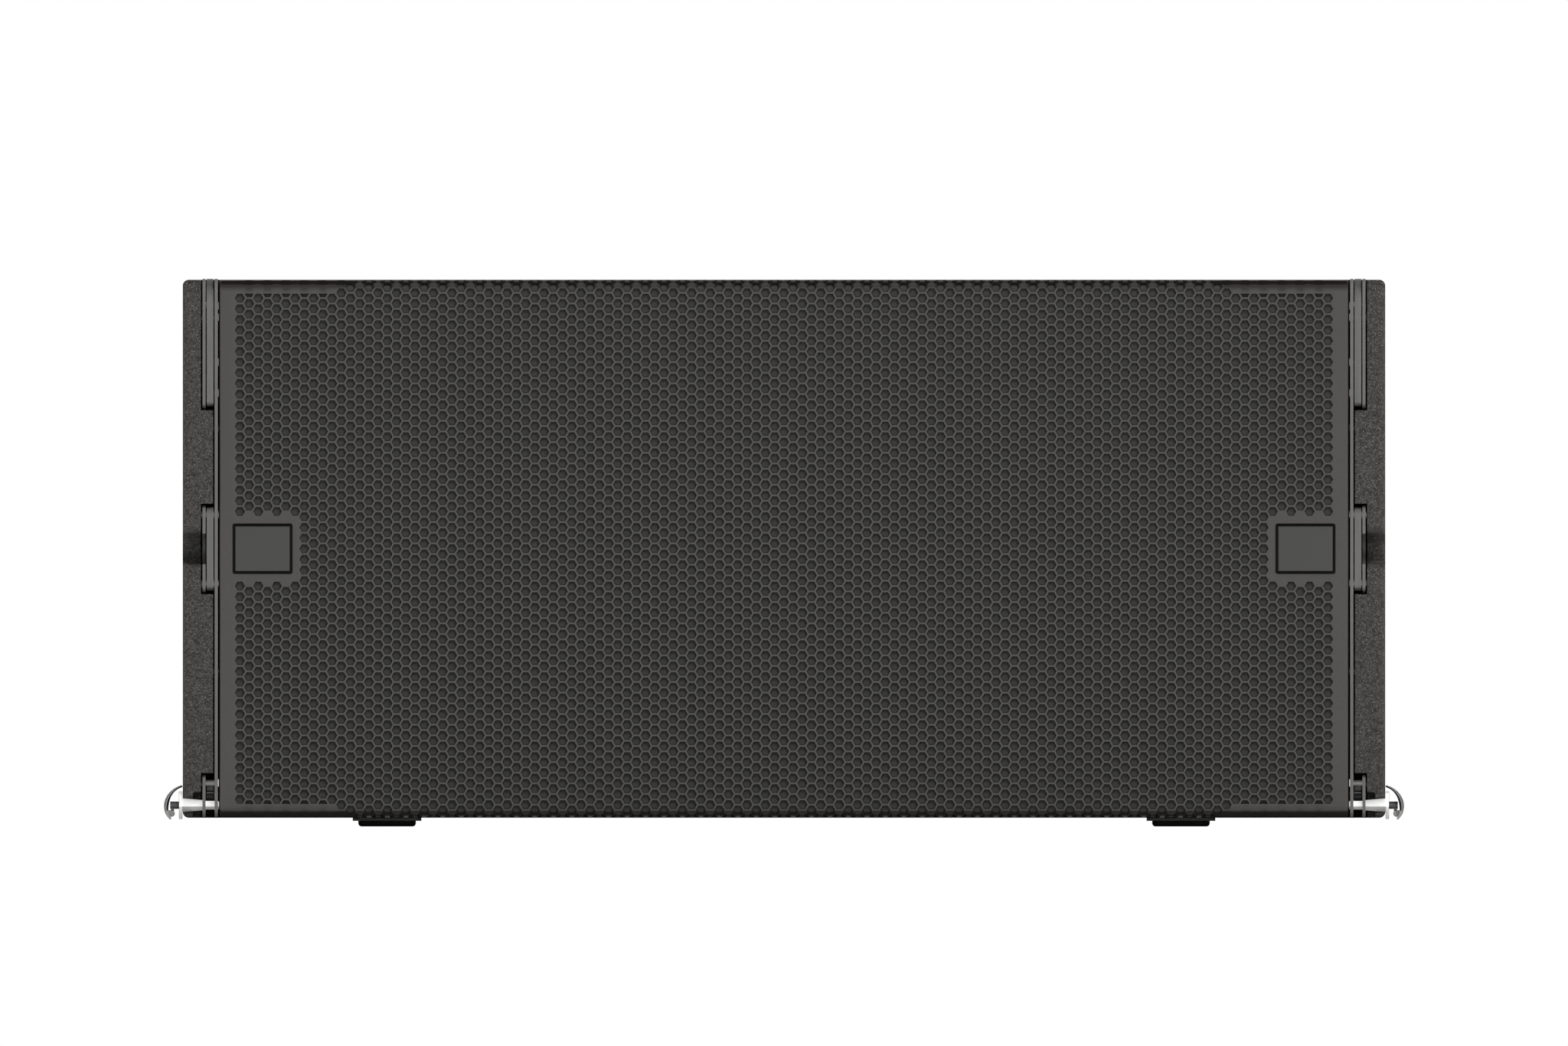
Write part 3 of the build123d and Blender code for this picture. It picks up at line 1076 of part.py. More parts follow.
def amplifier_chassis():
    """Open sheet tub behind the panel."""
    width = AMP_PANEL_WIDTH - 2 * AMP_LIP - 2 * CHASSIS_AIR
    height = AMP_PANEL_HEIGHT - 2 * AMP_LIP - 2 * CHASSIS_AIR
    y1 = CABINET_DEPTH
    y0 = y1 - CHASSIS_DEPTH
    outer = rearward(Pos(0, AMP_MIDDLE) * RectangleRounded(width, height, 5), y0, y1)
    inner = rearward(Pos(0, AMP_MIDDLE) * RectangleRounded(
        width - 2 * CHASSIS_SHEET, height - 2 * CHASSIS_SHEET, 3), y0 + CHASSIS_SHEET, y1 + 1)
    return outer - inner


def amplifier_boards():
    """Circuit board on the chassis floor with its transformer and capacitors."""
    y = CABINET_DEPTH - CHASSIS_DEPTH + CHASSIS_SHEET
    width = AMP_PANEL_WIDTH - 2 * (AMP_LIP + CHASSIS_AIR + BOARD_SIDE_GAP)
    height = AMP_PANEL_HEIGHT - 2 * (AMP_LIP + CHASSIS_AIR + BOARD_END_GAP)
    top = y + BOARD_THICKNESS
    parts = [rearward(Pos(0, AMP_MIDDLE) * Rectangle(width, height), y, top),
             rod_y(-width / 4, top, top + TRANSFORMER_HEIGHT, AMP_MIDDLE + TRANSFORMER_RISE,
                   TRANSFORMER_RADIUS),
             block(width / 8, width / 8 + COOLER_WIDTH, top, top + COOLER_HEIGHT,
                   AMP_MIDDLE - COOLER_LENGTH / 2, AMP_MIDDLE + COOLER_LENGTH / 2)]
    for i in range(4):
        z = AMP_MIDDLE + CAPACITOR_SPACING * (i - 1.5)
        parts.append(rod_y(width * 0.04, top, top + CAPACITOR_HEIGHT, z, CAPACITOR_RADIUS))
    return fused(parts)


def heatsink():
    """Extruded sink with upright fins."""
    y = CABINET_DEPTH + AMP_PANEL
    x0 = HEATSINK_CENTRE - HEATSINK_WIDTH / 2
    parts = [rearward(Pos(HEATSINK_CENTRE, AMP_MIDDLE) * Rectangle(HEATSINK_WIDTH, HEATSINK_HEIGHT), y,
                      y + HEATSINK_BASE)]
    pitch = (HEATSINK_WIDTH - HEATSINK_FIN_THICKNESS) / (HEATSINK_FINS - 1)
    fins = []
    for i in range(HEATSINK_FINS):
        x = x0 + HEATSINK_FIN_THICKNESS / 2 + i * pitch
        fins.append(Pos(x, 0) * Rectangle(HEATSINK_FIN_THICKNESS, HEATSINK_FIN + HEATSINK_BASE / 2))
    depth = y + HEATSINK_BASE / 2 + (HEATSINK_FIN + HEATSINK_BASE / 2) / 2
    low = AMP_MIDDLE - HEATSINK_HEIGHT / 2
    for fin in fins:
        parts.append(upward(Pos(0, depth) * fin, low, low + HEATSINK_HEIGHT))
    return fused(parts)


def socket(x, z, kind):
    """A panel socket: square flange, barrel and the recess for its plug."""
    y = CABINET_DEPTH + AMP_PANEL
    flange = rearward(Pos(x, z) * RectangleRounded(SOCKET_FLANGE_WIDTH, SOCKET_FLANGE_HEIGHT, 2.5), y,
                      y + SOCKET_FLANGE)
    body = flange + rod_y(x, y - SOCKET_DEPTH, y, z, SOCKET_BARREL_RADIUS)
    if kind == "network":
        mouth = rearward(Pos(x, z) * Rectangle(12.0, 8.0), y - 14, y + SOCKET_FLANGE + 1)
        key = rearward(Pos(x, z - 5) * Rectangle(6.4, 3.0), y - 14, y + SOCKET_FLANGE + 1)
        return cut(body, [mouth, key])
    radius = 9.6 if kind == "signal" else 10.4
    body = body - rod_y(x, y - 15, y + SOCKET_FLANGE + 1, z, radius)
    if kind == "signal":
        for i in range(3):
            angle = radians(90 + 120 * i)
            body += rod_y(x + 3.6 * cos(angle), y - 16, y - 4, z + 3.6 * sin(angle), 1.2)
    else:
        body += rod_y(x, y - 16, y - 3, z, 5.0)
        for sign in (-1, 1):
            body = body - rearward(Pos(x + sign * 5, z) * Rectangle(2.6, 4.0), y - 12, y)
    return body


def sockets(row, kind):
    """The two sockets of one row."""
    pair = socket_places()[2 * row:2 * row + 2]
    return Compound(children=[socket(x, z, kind) for x, z in pair])


def display_window():
    """Clear window over the display."""
    y = CABINET_DEPTH + AMP_PANEL
    z = AMP_MIDDLE + DISPLAY_HEIGHT_UP
    outline = Pos(CONTROL_CENTRE, z) * RectangleRounded(DISPLAY_WIDTH, DISPLAY_HEIGHT, 3)
    window = rearward(outline, y - 1, y - 1 + DISPLAY_DEPTH)
    return fillet(window.edges().group_by(Axis.Y)[-1], radius=0.8)


def encoder_knob():
    """Fluted knob on its shaft."""
    y = CABINET_DEPTH + AMP_PANEL + KNOB_AIR
    z = AMP_MIDDLE + KNOB_HEIGHT_UP
    knob = rod_y(CONTROL_CENTRE, y, y + KNOB_LENGTH, z, KNOB_RADIUS)
    knob = fillet(knob.edges().group_by(Axis.Y)[-1], radius=1.6)
    flutes = []
    for i in range(KNOB_FLUTES):
        angle = 2 * pi * i / KNOB_FLUTES
        flutes.append(rod_y(CONTROL_CENTRE + (KNOB_RADIUS + 0.4) * cos(angle), y + 2, y + KNOB_LENGTH + 1,
                            z + (KNOB_RADIUS + 0.4) * sin(angle), 1.0))
    shaft = rod_y(CONTROL_CENTRE, CABINET_DEPTH - 8, y + 2, z, KNOB_SHAFT_RADIUS)
    return cut(knob, flutes) + shaft


# ---------------------------------------------------------------- rear rigging
def rear_ears():
    """Inside and outside faces of the bracket's two ears, from the middle out."""
    gap = REAR_LINK_THICKNESS / 2 + REAR_LINK_AIR
    return ((REAR_BRACKET_CENTRE - gap - REAR_EAR, REAR_BRACKET_CENTRE - gap),
            (REAR_BRACKET_CENTRE + gap, REAR_BRACKET_CENTRE + gap + REAR_EAR))


def rear_low():
    return REAR_BRACKET_END_GAP


def rear_high():
    return REAR_HEIGHT - REAR_BRACKET_END_GAP


def rear_axis():
    """Depth of the rear pin's and the pivot's axis."""
    return CABINET_DEPTH + REAR_EAR_REACH - REAR_LINK_WIDTH / 2 - 4


def rear_screw_places():
    """Screws of the right-hand rear bracket."""
    x = REAR_BRACKET_CENTRE
    offset = REAR_BRACKET_WIDTH / 2 - 9
    places = []
    for i in range(4):
        z = rear_low() + 14 + i * (rear_high() - rear_low() - 28) / 3
        places += [(x - offset, z), (x + offset, z)]
    return places


def rear_bracket():
    """Bracket on the back panel: base plate and two upright ears with their holes."""
    y = CABINET_DEPTH
    low = rear_low()
    high = rear_high()
    x = REAR_BRACKET_CENTRE
    base = rearward(Pos(x, (low + high) / 2) * RectangleRounded(REAR_BRACKET_WIDTH, high - low, 8), y,
                    y + REAR_BRACKET_PLATE)
    axis = rear_axis()
    ear_width = REAR_EAR_REACH
    centre = y + ear_width / 2
    outline = Pos(centre, (low + high) / 2) * Rectangle(ear_width, high - low)
    outline = fillet([v for v in outline.vertices() if v.X > centre], radius=REAR_EAR_CORNER)
    waist_low = low + REAR_PIN_RISE + (ANGLE_HOLES - 1) * ANGLE_HOLE_SPACING + REAR_WAIST_GAP
    waist_high = high - REAR_PIVOT_DROP - REAR_WAIST_DROP
    waist = RectangleRounded(4 * REAR_WAIST_DEPTH, waist_high - waist_low, REAR_EAR_CORNER)
    outline = outline - Pos(y + ear_width + REAR_WAIST_DEPTH, (waist_low + waist_high) / 2) * waist
    ears = [across(outline, x0, x1) for x0, x1 in rear_ears()]
    tools = []
    pin_z = low + REAR_PIN_RISE
    x0 = rear_ears()[0][0] - 1
    x1 = rear_ears()[1][1] + 1
    tools.append(rod_x(x0, x1, axis, pin_z, REAR_PIN_RADIUS + BORE_AIR))
    tools.append(rod_x(x0, x1, axis, high - REAR_PIVOT_DROP, REAR_PIVOT_RADIUS))
    for i in range(1, ANGLE_HOLES):
        tools.append(rod_x(x0, x1, axis - 3 if i % 2 else axis + 3, pin_z + i * ANGLE_HOLE_SPACING,
                           ANGLE_HOLE_RADIUS))
    for sx, sz in rear_screw_places():
        tools.append(rod_y(sx, y - 1, y + REAR_BRACKET_PLATE + 1, sz, REAR_SCREW_RADIUS))
    return cut(fused([base] + ears), tools)


def rear_pivot():
    """Headed pivot of the rear link, riveted in both ears."""
    z = rear_high() - REAR_PIVOT_DROP
    y = rear_axis()
    x0 = rear_ears()[0][0]
    x1 = rear_ears()[1][1]
    parts = [rod_x(x0, x1, y, z, REAR_PIVOT_RADIUS), rod_x(x0 - 2, x0, y, z, REAR_PIVOT_RADIUS + 2.5),
             rod_x(x1, x1 + 2, y, z, REAR_PIVOT_RADIUS + 2.5)]
    return fused(parts)


def rear_link():
    """Swinging link with an eye at its free end."""
    z = rear_high() - REAR_PIVOT_DROP
    y = rear_axis()
    x0 = REAR_BRACKET_CENTRE - REAR_LINK_THICKNESS / 2
    x1 = REAR_BRACKET_CENTRE + REAR_LINK_THICKNESS / 2
    length = REAR_LINK_LENGTH
    outline = Pos(y, z - length / 2) * Rot(0, 0, 90) * SlotCenterToCenter(length, REAR_LINK_WIDTH)
    slot = Pos(y, z - length / 2) * Rot(0, 0, 90) * SlotCenterToCenter(length * 0.3, REAR_LINK_WIDTH * 0.4)
    link = across(outline - slot, x0, x1)
    tools = [rod_x(x0 - 1, x1 + 1, y, z, REAR_PIVOT_RADIUS + BORE_AIR),
             rod_x(x0 - 1, x1 + 1, y, z - length, REAR_EYE_RADIUS)]
    return cut(link, tools)


def rear_pin():
    """Release pin of the rear bracket, with a round grip on its outer end."""
    z = rear_low() + REAR_PIN_RISE
    y = rear_axis()
    x0 = rear_ears()[0][0] - REAR_PIN_TAIL
    x1 = rear_ears()[1][1]
    shank = rod_x(x0, x1, y, z, REAR_PIN_RADIUS)
    shank = chamfer(shank.edges().group_by(Axis.X)[0], length=1.0)
    head = rod_x(x1, x1 + REAR_PIN_HEAD, y, z, REAR_PIN_HEAD_RADIUS)
    head = fillet(head.edges().group_by(Axis.X)[-1], radius=1.0)
    neck = rod_x(x1 + REAR_PIN_HEAD, x1 + REAR_PIN_GRIP - 6, y, z, REAR_PIN_RADIUS - 1)
    grip = rod_x(x1 + REAR_PIN_GRIP - 6, x1 + REAR_PIN_GRIP, y, z, REAR_PIN_HEAD_RADIUS - 1.5)
    grip = fillet(grip.edges().filter_by(GeomType.CIRCLE), radius=1.5)
    return fused([shank, head, neck, grip])


def rear_screws():
    """Bolts of the rear bracket and the heads of its pivot's neighbours."""
    y = CABINET_DEPTH + REAR_BRACKET_PLATE
    screws = []
    for x, z in rear_screw_places():
        head = rod_y(x, y, y + REAR_SCREW_HEAD, z, REAR_SCREW_HEAD_RADIUS)
        screws.append(head + rod_y(x, y - REAR_SCREW_LENGTH, y, z, REAR_SCREW_RADIUS))
    return Compound(children=screws)


# ---------------------------------------------------------------- all the pieces
def build():
    """Every node by name, in the building frame."""
    flange_screws = grille_screws()
    nodes = {
        "cabinet_shell": cabinet_shell(flange_screws),
        "front_baffle": front_baffle(),
        "cabinet_braces": cabinet_braces(),
        "bass_ports": bass_ports(),
        "hf_waveguide": hf_waveguide(),
        "compression_driver_upper": compression_driver(1),
        "compression_driver_lower": compression_driver(-1),
        "driver_screws": driver_screws(),
        "front_grille": cut(front_grille(), flange_screws),
        "grille_screws": Compound(children=flange_screws),
        "grille_foam": grille_foam(),
        "foot_plates": foot_plates(),
        "rubber_feet": rubber_feet(),
        "amplifier_panel": amplifier_panel(),
        "amplifier_chassis": amplifier_chassis(),
        "amplifier_boards": amplifier_boards(),
        "panel_screws": panel_screws(),
        "heatsink": heatsink(),
        "mains_sockets": sockets(0, "mains"),
        "network_sockets": sockets(1, "network"),
        "signal_sockets": sockets(2, "signal"),
        "display_window": display_window(),
        "encoder_knob": encoder_knob(),
    }
    for name, x in (("left", -WOOFER_CENTRE), ("right", WOOFER_CENTRE)):
        nodes[f"woofer_{name}_basket"] = woofer_basket(x)
        nodes[f"woofer_{name}_cone"] = woofer_cone(x)
        nodes[f"woofer_{name}_magnet"] = woofer_magnet(x)
    pairs = {
        "inner_plate": inner_plate(),
        "upper_plate": upper_outer_plate(),
        "middle_plate": middle_outer_plate(),
        "lower_plate": lower_outer_plate(),
        "parking_block": parking_block(),
        "rigging_rivets": rigging_rivets(),
        "front_link": front_link(),
        "front_pin": front_pin(),
        "front_lever": front_lever(),
        "handle_cup": handle_cup(),
        "rear_bracket": rear_bracket() + rear_pivot(),
        "rear_link": rear_link(),
        "rear_pin": rear_pin(),
    }
    for name, shape in pairs.items():
        nodes[f"{name}_right"] = shape
        nodes[f"{name}_left"] = to_left(shape)
    both_sides = {"badge_frames": badge_frame(), "badge_faces": badge_face(),
                  "rigging_screws": rigging_screws(), "lower_stops": lower_stop(),
                  "rear_screws": rear_screws()}
    for name, shape in both_sides.items():
        nodes[name] = Compound(children=list(shape.solids()) + list(to_left(shape).solids()))
    return nodes


def placed(nodes):
    """Every node stood on the feet, centred in width and depth."""
    whole = Compound(children=[Compound(children=list(shape.solids())) for shape in nodes.values()])
    box = whole.bounding_box()
    shift = Pos(0, -(box.min.Y + box.max.Y) / 2, -box.min.Z)
    return shift, {name: shift * Compound(children=list(shape.solids())) for name, shape in nodes.items()}


def main():
    os.makedirs("parts", exist_ok=True)
    shift, nodes = placed(build())
    for name, shape in nodes.items():
        export_step(shape, f"parts/{name}.step")
    print("nodes", len(nodes), "shift", shift.position)


if __name__ == "__main__":
    main()
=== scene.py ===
"""Looks of a line array speaker: a wide black cabinet behind a honeycomb grille,
with sliding suspension links and release pins in slots beside the grille.

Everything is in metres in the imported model's own frame: X to the right, Y from
the grille to the rear, Z up from the floor.
"""
from math import cos, pi, radians, sin

import bpy
import numpy as np
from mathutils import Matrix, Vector


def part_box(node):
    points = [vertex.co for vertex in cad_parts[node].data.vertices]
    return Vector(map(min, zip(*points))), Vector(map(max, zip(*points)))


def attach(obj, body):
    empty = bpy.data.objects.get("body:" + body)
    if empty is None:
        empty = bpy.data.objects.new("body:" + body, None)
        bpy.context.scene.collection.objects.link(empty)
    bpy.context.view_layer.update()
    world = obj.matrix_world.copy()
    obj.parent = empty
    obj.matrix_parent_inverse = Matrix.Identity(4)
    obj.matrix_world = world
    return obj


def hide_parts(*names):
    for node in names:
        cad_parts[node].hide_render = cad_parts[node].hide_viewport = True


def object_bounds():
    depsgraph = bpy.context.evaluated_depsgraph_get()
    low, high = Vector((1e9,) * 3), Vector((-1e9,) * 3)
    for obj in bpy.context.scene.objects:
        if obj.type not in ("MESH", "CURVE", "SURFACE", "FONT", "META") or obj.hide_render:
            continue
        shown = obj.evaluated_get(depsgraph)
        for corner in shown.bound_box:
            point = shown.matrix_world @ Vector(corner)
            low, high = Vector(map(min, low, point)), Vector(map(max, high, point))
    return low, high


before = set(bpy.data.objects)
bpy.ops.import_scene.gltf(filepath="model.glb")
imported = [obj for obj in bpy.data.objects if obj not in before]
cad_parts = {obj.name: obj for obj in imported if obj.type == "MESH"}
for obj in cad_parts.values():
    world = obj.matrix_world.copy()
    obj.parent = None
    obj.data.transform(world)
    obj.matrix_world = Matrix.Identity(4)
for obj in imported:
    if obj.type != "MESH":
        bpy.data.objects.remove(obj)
cad_low, cad_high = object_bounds()

MM = 0.001

# ---------- grille sheet
SHEET = 1.5                 # thickness of the grille's steel, millimetres
BEND = 5.0                  # outside radius of its top and bottom bends
TOP_TURN = 97.0             # degrees that the sheet turns over the top edge
BOTTOM_TURN = 90.0
SIDE_ROUND = 1.3            # rounding of its upright edges
SIDE_LIP = 9.0              # depth of its side returns
CORNER_LIP = 3.3            # depth of the returns round the bends
LIP_GAP = 1.0               # side returns end this much before the bends
CORNER_END = 161.5          # length from mid-height at which those end
LEAST_LIP = 1.55            # depth of the side's edge beyond that
HOLE_COLUMN = 5.406         # spacing of the columns of holes
HOLE_ROW = 3.125            # half the spacing of the holes in a column
HOLE_FLATS = 5.05           # across the flats of one hole
LAST_COLUMN = 59            # columns each side of the middle one
LAST_ROW = 53               # half-rows each side of the middle one
FULL_COLUMN = 46            # within this column the holes go round the bends
NEXT_ROW = 49               # last row of holes in the column after it
END_ROW = 48                # and in those beyond, most of them cut off straight
CUT_LINE = 149.5            # length from mid-height at which they are cut off
BADGE_COLUMN = 53           # from this column on the sheet is closed behind the badges
BADGE_ROWS = (8, 7)         # half-rows where that ends, in even and odd columns
LOWER_FLANGE = 2.0          # the lower flange begins this much past the sheet's bottom
HIDDEN = 0.05               # and is this much inside its screws' heads
FOAM_AIR = 0.15             # between the foam's edges and the flanges
FOAM_SETBACK = 0.05         # between the foam and the sheet before it
FOAM_SWELL = 0.01           # share by which the foam is fuller in its middle
FOAM_REACH = 0.0007         # metres round a place on it in which open air counts for its painted shade

# ---------- badges
BADGE_SHAPE = 35.2 / 29.6   # width over height
RIM_BEAD = 0.00055          # rounding of the rim's edges, metres
RIM_CORNER = 0.0014
PLATE_CORNER = 0.0006
PLATE_EDGE = 0.0005         # rounding of the plate's edge
PLATE_CROWN = 0.00012       # the plate's middle stands this much higher
PLATE_RINGS = (0.08, 0.98, 9)       # first and last, as shares of half its height, and number
GROOVE_FLOOR = 0.0002       # height of the groove's floor round the plate
LEAST_CORNER = 0.00015      # least radius of an inset corner
CURVE_STEPS = 5             # points along a rounded edge

# ---------- studio
VIEW_WIDTH = 0.9192         # width of the view, metres
VIEW_HEIGHT = 0.1779        # height that the view is centred on
VIEW_DISTANCE = 4.0
FLOOR_HALF = 6.0            # half the side of the floor
FLOOR_DROP = 0.0002         # the floor is this much under the feet
FLOOR_TONE = 0.86           # its linear grey
CONTACT_TONE = 0.08         # and that of the painted contact shade close to the cabinet, seen only in reflections
BAND = (0.15, 0.32)         # sines of the heights between which the bright band fades
WALLS = (0.64, 0.86)        # and between which the walls fade into the ceiling
CONTACT = (0.006, 0.025)    # metres from the cabinet over which that painted shade fades

# ---------- release pins and levers
FLANGE_FACE = 0.3546        # outer face of a pin's flange, from the middle of the cabinet
PIN_LINE = 0.0118           # height below which a pin's underside is painted in shade: a greyer base and less painted glow
PIN_REACH = 0.03            # metres round a pin in which open air counts
PIN_FREE = (0.9, 1.0)       # shares of it between which a pin counts as pulled out, where its painted reflection and glow give way to grey
PIN_PAINTED_GLOW = (0.26, 0.55)    # painted glow below and above its line
INNER_FACE = 0.33195        # inner face of the inner rigging plates
OUTER_PLATES = 0.339        # inner face of the outer rigging plates
LEVER_CENTRE = (0.3483, 0.0110)     # middle of the lever's curve, out and up
LEVER_INNER_RADIUS = 0.0137       # radius of the near-black painted shade strip inside the blade, and of the hub
LEVER_LINE = 0.0143         # and of the outer side of the painted highlight line beside it
INNER_STRIP_END = 0.0125         # the painted shade strip stops at the spindle, where the hub begins
HUB_TOP = 0.0092            # the lever's hub is pale up to here and blackened above
SPACERS = (0.0215, 0.0303)  # heights between which the lowest spacers and rivets stand
TOP_RIVETS = 0.25           # height over which the uppermost rivets stand
HEAD_PAINTED_GLOW = 0.8            # painted glow of the rivets' heads inside the plates, lifting them out of the shade there
TOP_SHARE = 0.4             # share of it that the uppermost ones have
# painted glow that lifts the spacers between the plates out of their shade
SPACER_PAINTED_GLOW = 0.09
# painted bands of light and shade on the lower stops, standing in for the lit and shaded faces of their
# grooves: the heights where each begins and ends, and its tone
PAINTED_STOP_BANDS = ((0.0, 0.0168, 24), (0.0168, 0.0182, 165), (0.0182, 0.0194, 100),
              (0.0194, 0.0204, 255), (0.0204, 0.0210, 20))
HAIR = 0.0001               # width over which one finish gives way to the next
METAL_EDGE = 0.0003         # rounding of metal edges
FINE = 0.00005              # depth of the lines in brushed or turned metal
ROLLED = (20.0, 900.0, 900.0)       # lines to the metre in plated sheet, across, back and up
TURNED = (14.0, 1400.0, 1400.0)     # and in a turned pin
UPRIGHT = (600.0, 600.0, 18.0)      # and in the links, which are rolled upright


# ---------- meshes
def piece(name, points, faces, finish, body="cabinet", crease=None):
    """A mesh object at the origin from points in metres, riding on a body."""
    mesh = bpy.data.meshes.new(name)
    mesh.from_pydata(points.tolist(), [], faces, shade_flat=False)
    mesh.validate()
    if crease is not None:
        mesh.set_sharp_from_angle(angle=radians(crease))
    mesh.update()
    made = bpy.data.objects.new(name, mesh)
    bpy.context.scene.collection.objects.link(made)
    mesh.materials.append(finish)
    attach(made, body)
    return made


def quads(rows, columns, close_columns=False):
    """Faces of a grid of points stored row after row, as an array of four corners."""
    across = np.arange(columns if close_columns else columns - 1)
    row, column = np.meshgrid(np.arange(rows - 1), across, indexing="ij")
    following = (column + 1) % columns
    corners = [row * columns + column, row * columns + following,
               (row + 1) * columns + following, (row + 1) * columns + column]
    return np.stack(corners, axis=-1).reshape(-1, 4)


def folded(along, inward, middle, top, bottom, front):
    """Place of the folded sheet: flat up the front, round each bend, then straight back.

    along is the length up the sheet from mid-height and inward the distance
    under its outer face.  A bend of turn T and radius R takes the length R T;
    past the start of the bend by s, the point turns about the bend's centre
    by s / R, and past its end it runs on straight.
    """
    result_y = np.empty_like(along)
    result_z = np.empty_like(along)
    for sign, end, turn in ((1, top, radians(TOP_TURN)), (-1, bottom, radians(BOTTOM_TURN))):
        side = along >= 0 if sign > 0 else along < 0
        length = np.abs(along[side])
        depth = inward[side]
        start = end - BEND * np.tan(turn / 2)
        angle = np.clip((length - start) / BEND, 0, turn)
        beyond = np.clip(length - start - BEND * turn, 0, None)
        radius = BEND - depth
        y = BEND - radius * np.cos(angle) + beyond * np.sin(angle)
        z = np.minimum(length, start) + radius * np.sin(angle) + beyond * np.cos(angle)
        result_y[side] = front + y
        result_z[side] = middle + sign * z
    return result_y, result_z


def flange_end(end, turn, reach):
    """Length up the sheet at which its flange has gone back by reach."""
    turn = radians(turn)
    start = end - BEND * np.tan(turn / 2)
    depth_at_bend = BEND * (1 - cos(turn))
    return start + BEND * turn + (reach - depth_at_bend) / sin(turn)


def hole_is_cut(column, row):
    """True where the honeycomb has an open hole: columns and half-rows from the middle."""
    side = np.abs(column)
    height = np.abs(row)
    inside = (side <= FULL_COLUMN) | (height <= np.where(side == FULL_COLUMN + 1, NEXT_ROW, END_ROW))
    badge = (side >= BADGE_COLUMN) & (height < np.where(side % 2 == 1, BADGE_ROWS[1], BADGE_ROWS[0]))
    return inside & ~badge


def perforated_grille(finish):
    """Folded steel sheet with a honeycomb of six-sided holes.

    Every cell (column, half-row) of the lattice has six corners at 60 degrees
    round its centre.  The sheet between the cells is one strip of four corners
    to each of three neighbours and two small triangles; a cell is either open,
    with a wall from the front to the back of the sheet, or filled.  Strips round
    the outside carry the lattice to the sheet's edges.  Front and back are the
    same net at the depths 0 and SHEET, folded over the top and bottom bends.
    """
    low, high = (np.array(corner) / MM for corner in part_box("front_grille"))
    half = high[0]
    front = low[1]
    reach = high[1] - low[1]
    middle = (high[2] + low[2]) / 2
    top = high[2] - middle + BEND * (np.tan(radians(TOP_TURN) / 2) - 1)
    bottom = middle - low[2]

    column, row = np.meshgrid(np.arange(-LAST_COLUMN, LAST_COLUMN + 1),
                              np.arange(-LAST_ROW, LAST_ROW + 1), indexing="ij")
    real = (column - row) % 2 == 0
    real &= (np.abs(row) <= LAST_ROW - 1) | (np.abs(column) % 2 == 1)
    number = np.full(column.shape, -1)
    number[real] = np.arange(real.sum())
    column = column[real]
    row = row[real]
    count = len(column)

    angle = np.arange(6) * pi / 3
    corner_x = HOLE_FLATS / np.sqrt(3) * np.cos(angle)
    corner_v = HOLE_FLATS / np.sqrt(3) * np.sin(angle)
    x = column[:, None] * HOLE_COLUMN + corner_x
    v = row[:, None] * HOLE_ROW + corner_v
    # holes that end on the straight line near the sides
    ended = (np.abs(column) > FULL_COLUMN + 2) & (np.abs(row) == END_ROW)
    over = ended[:, None] & (np.abs(v) > CUT_LINE)
    pointed = over & (np.arange(6) % 3 == 0)
    x = np.where(pointed, x - np.sign(corner_x) / np.sqrt(3) * (np.abs(v) - CUT_LINE), x)
    v = np.where(over, np.sign(v) * CUT_LINE, v)

    def cell(columns, rows):
        """Number of the cell at a place in the lattice, or -1 outside it."""
        inside = (np.abs(columns) <= LAST_COLUMN) & (np.abs(rows) <= LAST_ROW)
        safe_columns = np.clip(columns, -LAST_COLUMN, LAST_COLUMN) + LAST_COLUMN
        safe_rows = np.clip(rows, -LAST_ROW, LAST_ROW) + LAST_ROW
        return np.where(inside, number[safe_columns, safe_rows], -1)

    me = np.arange(count)
    above = cell(column, row + 2)
    upper = cell(column + 1, row + 1)
    lower = cell(column + 1, row - 1)
    R, TR, TL, L, BL, BR = range(6)

    def join(*corners):
        """Faces through corners of this cell and its neighbours, where all of them exist."""
        exists = np.all([which >= 0 for which, _ in corners], axis=0)
        return np.stack([which[exists] * 6 + place for which, place in corners], axis=-1)

    four = [join((me, TL), (me, TR), (above, BR), (above, BL)),
            join((me, R), (upper, BL), (upper, L), (me, TR)),
            join((me, BR), (lower, L), (lower, TL), (me, R))]
    three = [join((me, TR), (upper, L), (above, BR)),
             join((me, R), (lower, TL), (upper, BL))]
    open_cell = hole_is_cut(column, row)
    filled = me[~open_cell]
    four.append(filled[:, None] * 6 + np.array([R, TR, TL, L]))
    four.append(filled[:, None] * 6 + np.array([L, BL, BR, R]))

    points_x = [x.ravel()]
    points_v = [v.ravel()]
    total = count * 6
    front_four = np.concatenate(four)
    front_three = np.concatenate(three)

    # top and bottom borders: one strip from the lattice's edge to the flange's end
    ends = {1: flange_end(top, TOP_TURN, reach), -1: -flange_end(bottom, BOTTOM_TURN, reach)}
    rims = {}
    borders = []
    for sign in (1, -1):
        places = []
        outer = (L, TL, TR, R) if sign > 0 else (L, BL, BR, R)
        for one in range(-LAST_COLUMN, LAST_COLUMN + 1):
            odd = one % 2
            which = number[one + LAST_COLUMN, sign * (LAST_ROW - 1 + odd) + LAST_ROW] * 6
            places += [which + place for place in (outer if odd else outer[1:3])]
        places = np.array(places)
        edge = total + np.arange(len(places))
        points_x.append(points_x[0][places])
        points_v.append(np.full(len(places), ends[sign]))
        total += len(places)
        strip = np.stack([places[:-1], places[1:], edge[1:], edge[:-1]], axis=-1)
        borders.append(strip[:, ::sign])
        rims[sign] = edge
    front_four = np.concatenate([front_four] + borders)

    flat_x = np.concatenate(points_x)
    flat_v = np.concatenate(points_v)
    net = len(flat_x)

